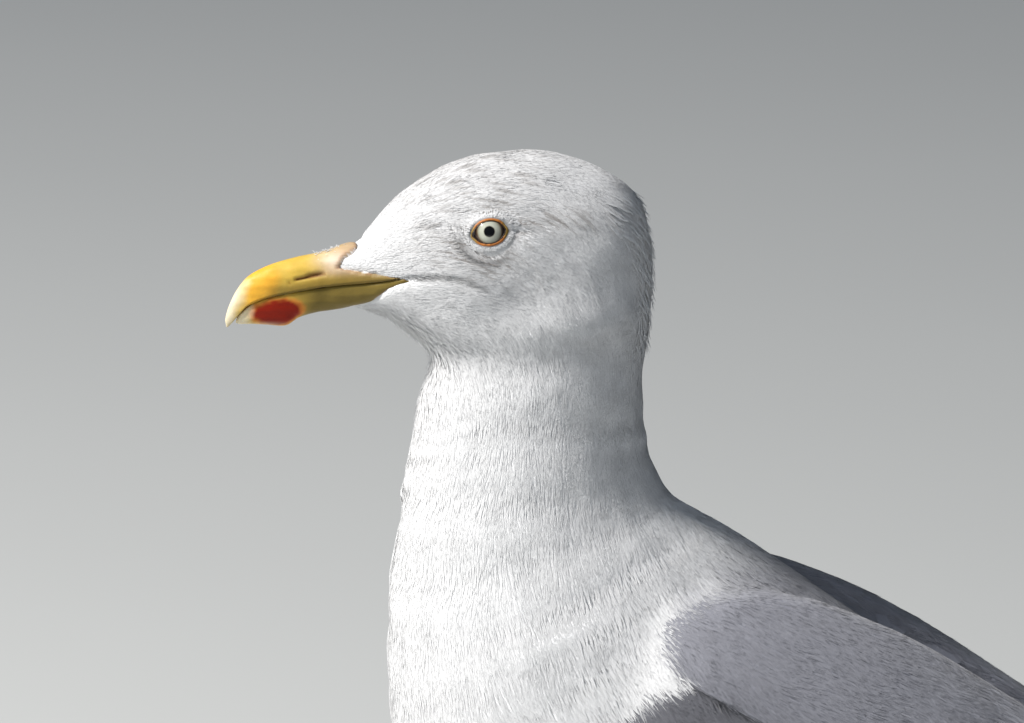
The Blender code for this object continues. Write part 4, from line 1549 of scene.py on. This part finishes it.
def nostril_depth(points):
    """Two shapes in one: the slit itself, and the shallow dish that it lies in."""
    a, b = (np.array(spot) for spot in NOSTRIL)
    way = (b - a) / np.linalg.norm(b - a)
    flat = points[:, [0, 2]] - a
    along = flat @ way
    off = flat @ np.array([-way[1], way[0]])
    long = np.linalg.norm(b - a)
    inside = np.clip(along, 0, long)
    off = off - 0.35 * np.sin(np.pi * inside / long)
    gap = np.hypot(along - inside, off)
    wide = 0.20 + 0.34 * ease(0, long * 0.6, inside) * (1 - 0.5 * ease(long * 0.75, long, inside))
    return np.exp(-((gap / wide) ** 4)), np.exp(-(((along - 4) / 12) ** 2 + (off / 2.4) ** 2))


def blend(colours, tone, amount):
    """The colours, each turned toward the tone by its own amount."""
    return colours + (np.array(tone) - colours) * np.clip(amount, 0, 1)[:, None]


class GULL_OT_bill(Operator):
    """Both mandibles, with the nostril, the red spot and the worn pale tip"""

    bl_idname = "gull.bill"
    bl_label = "Bill"

    def execute(self, context):
        settings = context.scene.gull
        horn = node_material("horn", 0.36, horn_nodes)
        upper = loft([upper_ring(row) for row in smooth_rows(UPPER_BILL, BILL_STEPS)])
        self.finish_horn("upper_mandible", upper, horn, settings, True)
        lower = loft([lower_ring(row) for row in smooth_rows(LOWER_BILL, BILL_STEPS)])
        self.finish_horn("lower_mandible", lower, horn, settings, False)
        self.add_down(settings.seed)
        return {"FINISHED"}

    def finish_horn(self, name, bm, horn, settings, is_upper):
        points = points_of(bm)
        normals = normals_of(bm)
        slit, dish = nostril_depth(points)
        outer = (np.abs(normals[:, 1]) > 0.2) * is_upper
        off = np.abs(points[:, 1])
        ridges = 0.05 * np.sin(points[:, 2] * 2.2 + ripple(points, 12, 4)) * (off > 2)
        deep = (1.1 * slit + 0.35 * dish) * outer + 2.2 * ease(-0.2, 1.6, bill_root(points))
        deep = deep - 0.10 * ripple(points, 7, 5) * ease(0.6, 3, off)
        place_points(bm, points - normals * (deep + ridges)[:, None])
        made = new_object(name, bm, horn)
        points, _ = mesh_arrays(made.data)
        tones = self.horn_colour(points, slit * outer, settings, is_upper)
        behind = bill_root(points)
        # a brown border at the feathers' edge, and white where the feathers hide the horn
        tones = blend(tones, (0.33, 0.20, 0.13), 0.65 * np.exp(-(((behind + 0.1) / 0.7) ** 2)))
        paint_points(made.data, blend(tones, WHITE, ease(1.4, 2.4, behind)))
        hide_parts("bill_upper" if is_upper else "bill_lower")

    def add_down(self, seed):
        """Loose scraps of white down where the ridge meets the forehead."""
        rng = np.random.default_rng(seed + 90)
        count = DOWN_SCRAPS
        x, y = rng.uniform(-66.5, -56.5, count), rng.normal(0, 1.4, count)
        ridge = np.array(UPPER_BILL)[::-1]
        z = np.interp(x, ridge[:, 0], ridge[:, 1]) - 0.055 * y**2 - 0.1
        root = np.stack([x, y, z], 1)
        reach = rng.normal(0.4, 1.0, count)
        tip = root + np.stack([reach, rng.normal(0, 0.6, count), rng.uniform(0.3, 1.1, count)], 1)
        middle = (root + tip) / 2 + np.array([0, 0, 0.15])
        up = np.broadcast_to([0.0, 0.0, 1.0], root.shape)
        template = tuft_template(2)
        shape = on_curve(template, root, middle, tip, up, up, rng.uniform(0.25, 0.45, count))
        shade = np.outer(rng.uniform(0.85, 1.0, count), WHITE)
        spread = body_map(root)
        blades("culmen_down", template, shape, shade, spread, feather_material())

    def horn_colour(self, points, slit, settings, is_upper):
        """Yellow horn, paler at root and tip, with the red spot below and the dark slit of the nostril, and
        painted shade along the upper mandible's cutting edge and over the lower mandible's rear part.
        """
        x, _, z = points.T
        cloud = ripple(points, 9, 11)
        grain = ripple(points, 3.2, 12)
        tone = np.outer(1 + 0.05 * cloud + 0.03 * grain, tuple(settings.bill_yellow))
        if is_upper:
            edge = np.interp(x, [-96, -89, -81, -60, -37], [347.6, 355.2, 358.6, 362.2, 366.0])
            tone = blend(tone, (0.80, 0.36, 0.018), ease(-76, -83, x + cloud * 2) * ease(-93, -87, x) * 0.55)
            root = ease(-73, -61, x + 2 * cloud - (z - 366) * 0.8) * ease(363.5, 367, z)
            tone = blend(tone, settings.bill_pale, root * 0.85)
            ridge = np.exp(-(((x + 61) / 5) ** 2 + ((z - 370.5) / 2.2) ** 2))
            tone = blend(tone, (0.62, 0.53, 0.43), ridge * 0.8)
            # painted shade low on the upper mandible's side, along the cutting edge behind the tip
            tone = blend(tone, (0.17, 0.115, 0.025), ease(5.6, 1.4, z - edge) * ease(-88, -78, x) * 0.85)
            tone = blend(tone, (0.66, 0.59, 0.43), ease(-90.5, -96, x - (z - 352) * 0.22 + cloud) * 0.92)
        else:
            # painted shade over the lower mandible's rear part, toward the root
            tone = blend(tone, (0.125, 0.092, 0.022), ease(-77, -66, x + cloud) * 0.9)
            tone = blend(tone, (0.40, 0.35, 0.24), ease(-60, -49, x) * ease(356, 352, z) * 0.7)
            spot_x, spot_z = RED_SPOT
            gap = np.hypot((x - spot_x - (z - spot_z) * 0.35) / 8.2, (z - spot_z) / 5.0)
            gap = gap + 0.10 * cloud + 0.05 * grain
            tone = blend(tone, (0.62, 0.20, 0.03), ease(1.25, 0.95, gap) * 0.9)
            tone = blend(tone, settings.bill_red, ease(1.08, 0.80, gap))
            tone = blend(tone, (0.74, 0.66, 0.47), ease(-86.5, -90.5, x + 0.6 * cloud) * 0.9)
            tone = blend(tone, (0.74, 0.62, 0.40), ease(350.2, 348.0, z) * ease(-74, -84, x) * 0.5)
        return blend(tone, (0.13, 0.040, 0.012), slit)


def horn_nodes(tree, shader):
    n = Nodes(tree)
    colour, _ = n.attribute("plumage")
    blotch = n.noise(n.place(), 420.0, 4.0, 0.6)
    grain = n.noise(n.place(), 2600.0, 3.0, 0.6)
    tone = n.math("MULTIPLY", n.span(blotch, 0.86, 1.12), n.span(grain, 0.95, 1.04))
    n.put(shader, "Base Color", n.scaled(colour, tone))
    n.put(shader, "Roughness", n.span(blotch, 0.34, 0.55))
    n.put(shader, "Normal", n.bump(n.math("ADD", blotch, n.math("MULTIPLY", grain, 0.3)), 0.35, 0.0004))
    shader.inputs["Specular IOR Level"].default_value = 0.18
    shader.inputs["Subsurface Weight"].default_value = 0.08
    shader.inputs["Subsurface Radius"].default_value = (0.0012, 0.0006, 0.0003)


# ---------------------------------------------------------------- stage

LOOK = (math.radians(8), math.radians(13))  # the camera's turn to the bird's front, and its height
FRAME_WIDTH = 0.34304  # metres across the picture at the bird
AIM = (0.0, 0.0, 332.7)  # bird millimetres on the camera's axis
FLOOR_SIZE = 6.0
SENSOR_WIDTH = 36.0
# The way to each lamp from the bird, its width, its distance, its power and its tint.
KEY = ((-0.67, -0.18, 0.74), 0.7, 3.2, 208.0, (1.0, 0.97, 0.94))
FILL = ((-0.42, -0.74, 0.56), 2.2, 3.6, 31.0, (0.93, 0.96, 1.0))
SKY = (0.60, 0.76, 1.0, 1)
SKY_STRENGTH = 0.15


class GULL_OT_stage(Operator):
    """A pale floor, soft studio lights and the camera"""

    bl_idname = "gull.stage"
    bl_label = "Stage"

    def execute(self, context):
        scene = context.scene
        aim = Vector(to_frame([AIM])[0])
        self.floor(scene)
        self.camera(scene, aim)
        self.light(scene, "key", aim, *KEY)
        fill = self.light(scene, "fill", aim, *FILL)
        fill.visible_glossy = False  # one highlight in the eye, from the key
        scene.view_settings.view_transform = "Standard"
        world = bpy.data.worlds.new("studio")
        world.use_nodes = True
        sky = world.node_tree.nodes["Background"]
        sky.inputs["Color"].default_value = SKY
        sky.inputs["Strength"].default_value = SKY_STRENGTH
        scene.world = world
        return {"FINISHED"}

    def floor(self, scene):
        bm = bmesh.new()
        bmesh.ops.create_grid(bm, x_segments=1, y_segments=1, size=FLOOR_SIZE)
        mesh = bpy.data.meshes.new("floor")
        bm.to_mesh(mesh)
        bm.free()
        floor = bpy.data.objects.new("floor", mesh)
        mesh.materials.append(node_material("floor", 0.9, floor_nodes))
        scene.collection.objects.link(floor)

    def camera(self, scene, aim):
        yaw, pitch = LOOK
        back = Vector((-math.sin(yaw) * math.cos(pitch), -math.cos(yaw) * math.cos(pitch), math.sin(pitch)))
        camera = bpy.data.objects.new("camera", bpy.data.cameras.new("camera"))
        distance = scene.gull.camera_distance
        camera.location = aim + back * distance
        camera.rotation_euler = (-back).to_track_quat("-Z", "Y").to_euler()
        camera.data.sensor_width = SENSOR_WIDTH
        camera.data.lens = SENSOR_WIDTH * distance / FRAME_WIDTH
        camera.data.clip_end = 100.0
        scene.collection.objects.link(camera)
        scene.camera = camera

    def light(self, scene, name, aim, way, size, away, power, tint):
        lamp = bpy.data.lights.new(name, "AREA")
        lamp.shape = "DISK"
        lamp.size = size
        lamp.energy = power
        lamp.color = tint
        made = bpy.data.objects.new(name, lamp)
        out = Vector(way).normalized()
        made.location = aim + out * away
        made.rotation_euler = (-out).to_track_quat("-Z", "Y").to_euler()
        scene.collection.objects.link(made)
        return made


def floor_nodes(tree, shader):
    n = Nodes(tree)
    broad = n.noise(n.place(), 3.0, 2.0, 0.5)
    n.put(shader, "Base Color", n.scaled((0.50, 0.51, 0.50), n.span(broad, 0.97, 1.0)))


# ---------------------------------------------------------------- panel and run


class GULL_PT_panel(Panel):
    """The gull's settings, and a button for each step"""

    bl_idname = "GULL_PT_panel"
    bl_label = "Herring gull"
    bl_space_type = "VIEW_3D"
    bl_region_type = "UI"
    bl_category = "Gull"

    def draw(self, context):
        settings = context.scene.gull
        for name in GullSettings.__annotations__:
            self.layout.prop(settings, name)
        for step in STEPS:
            self.layout.operator(step.bl_idname)


STEPS = (
    GULL_OT_skin, GULL_OT_eyes, GULL_OT_bill, GULL_OT_legs, GULL_OT_head_coat, GULL_OT_neck_coat,
    GULL_OT_body_coat, GULL_OT_mantle, GULL_OT_tertials, GULL_OT_primaries, GULL_OT_tail, GULL_OT_stage,
)
CLASSES = (GullSettings, *STEPS, GULL_PT_panel)


def register():
    for kind in CLASSES:
        bpy.utils.register_class(kind)
    bpy.types.Scene.gull = PointerProperty(type=GullSettings)


def unregister():
    del bpy.types.Scene.gull
    for kind in reversed(CLASSES):
        bpy.utils.unregister_class(kind)


def main():
    register()
    for step in STEPS:
        getattr(bpy.ops.gull, step.bl_idname.split(".")[1])()


if __name__ == "__main__":
    main()
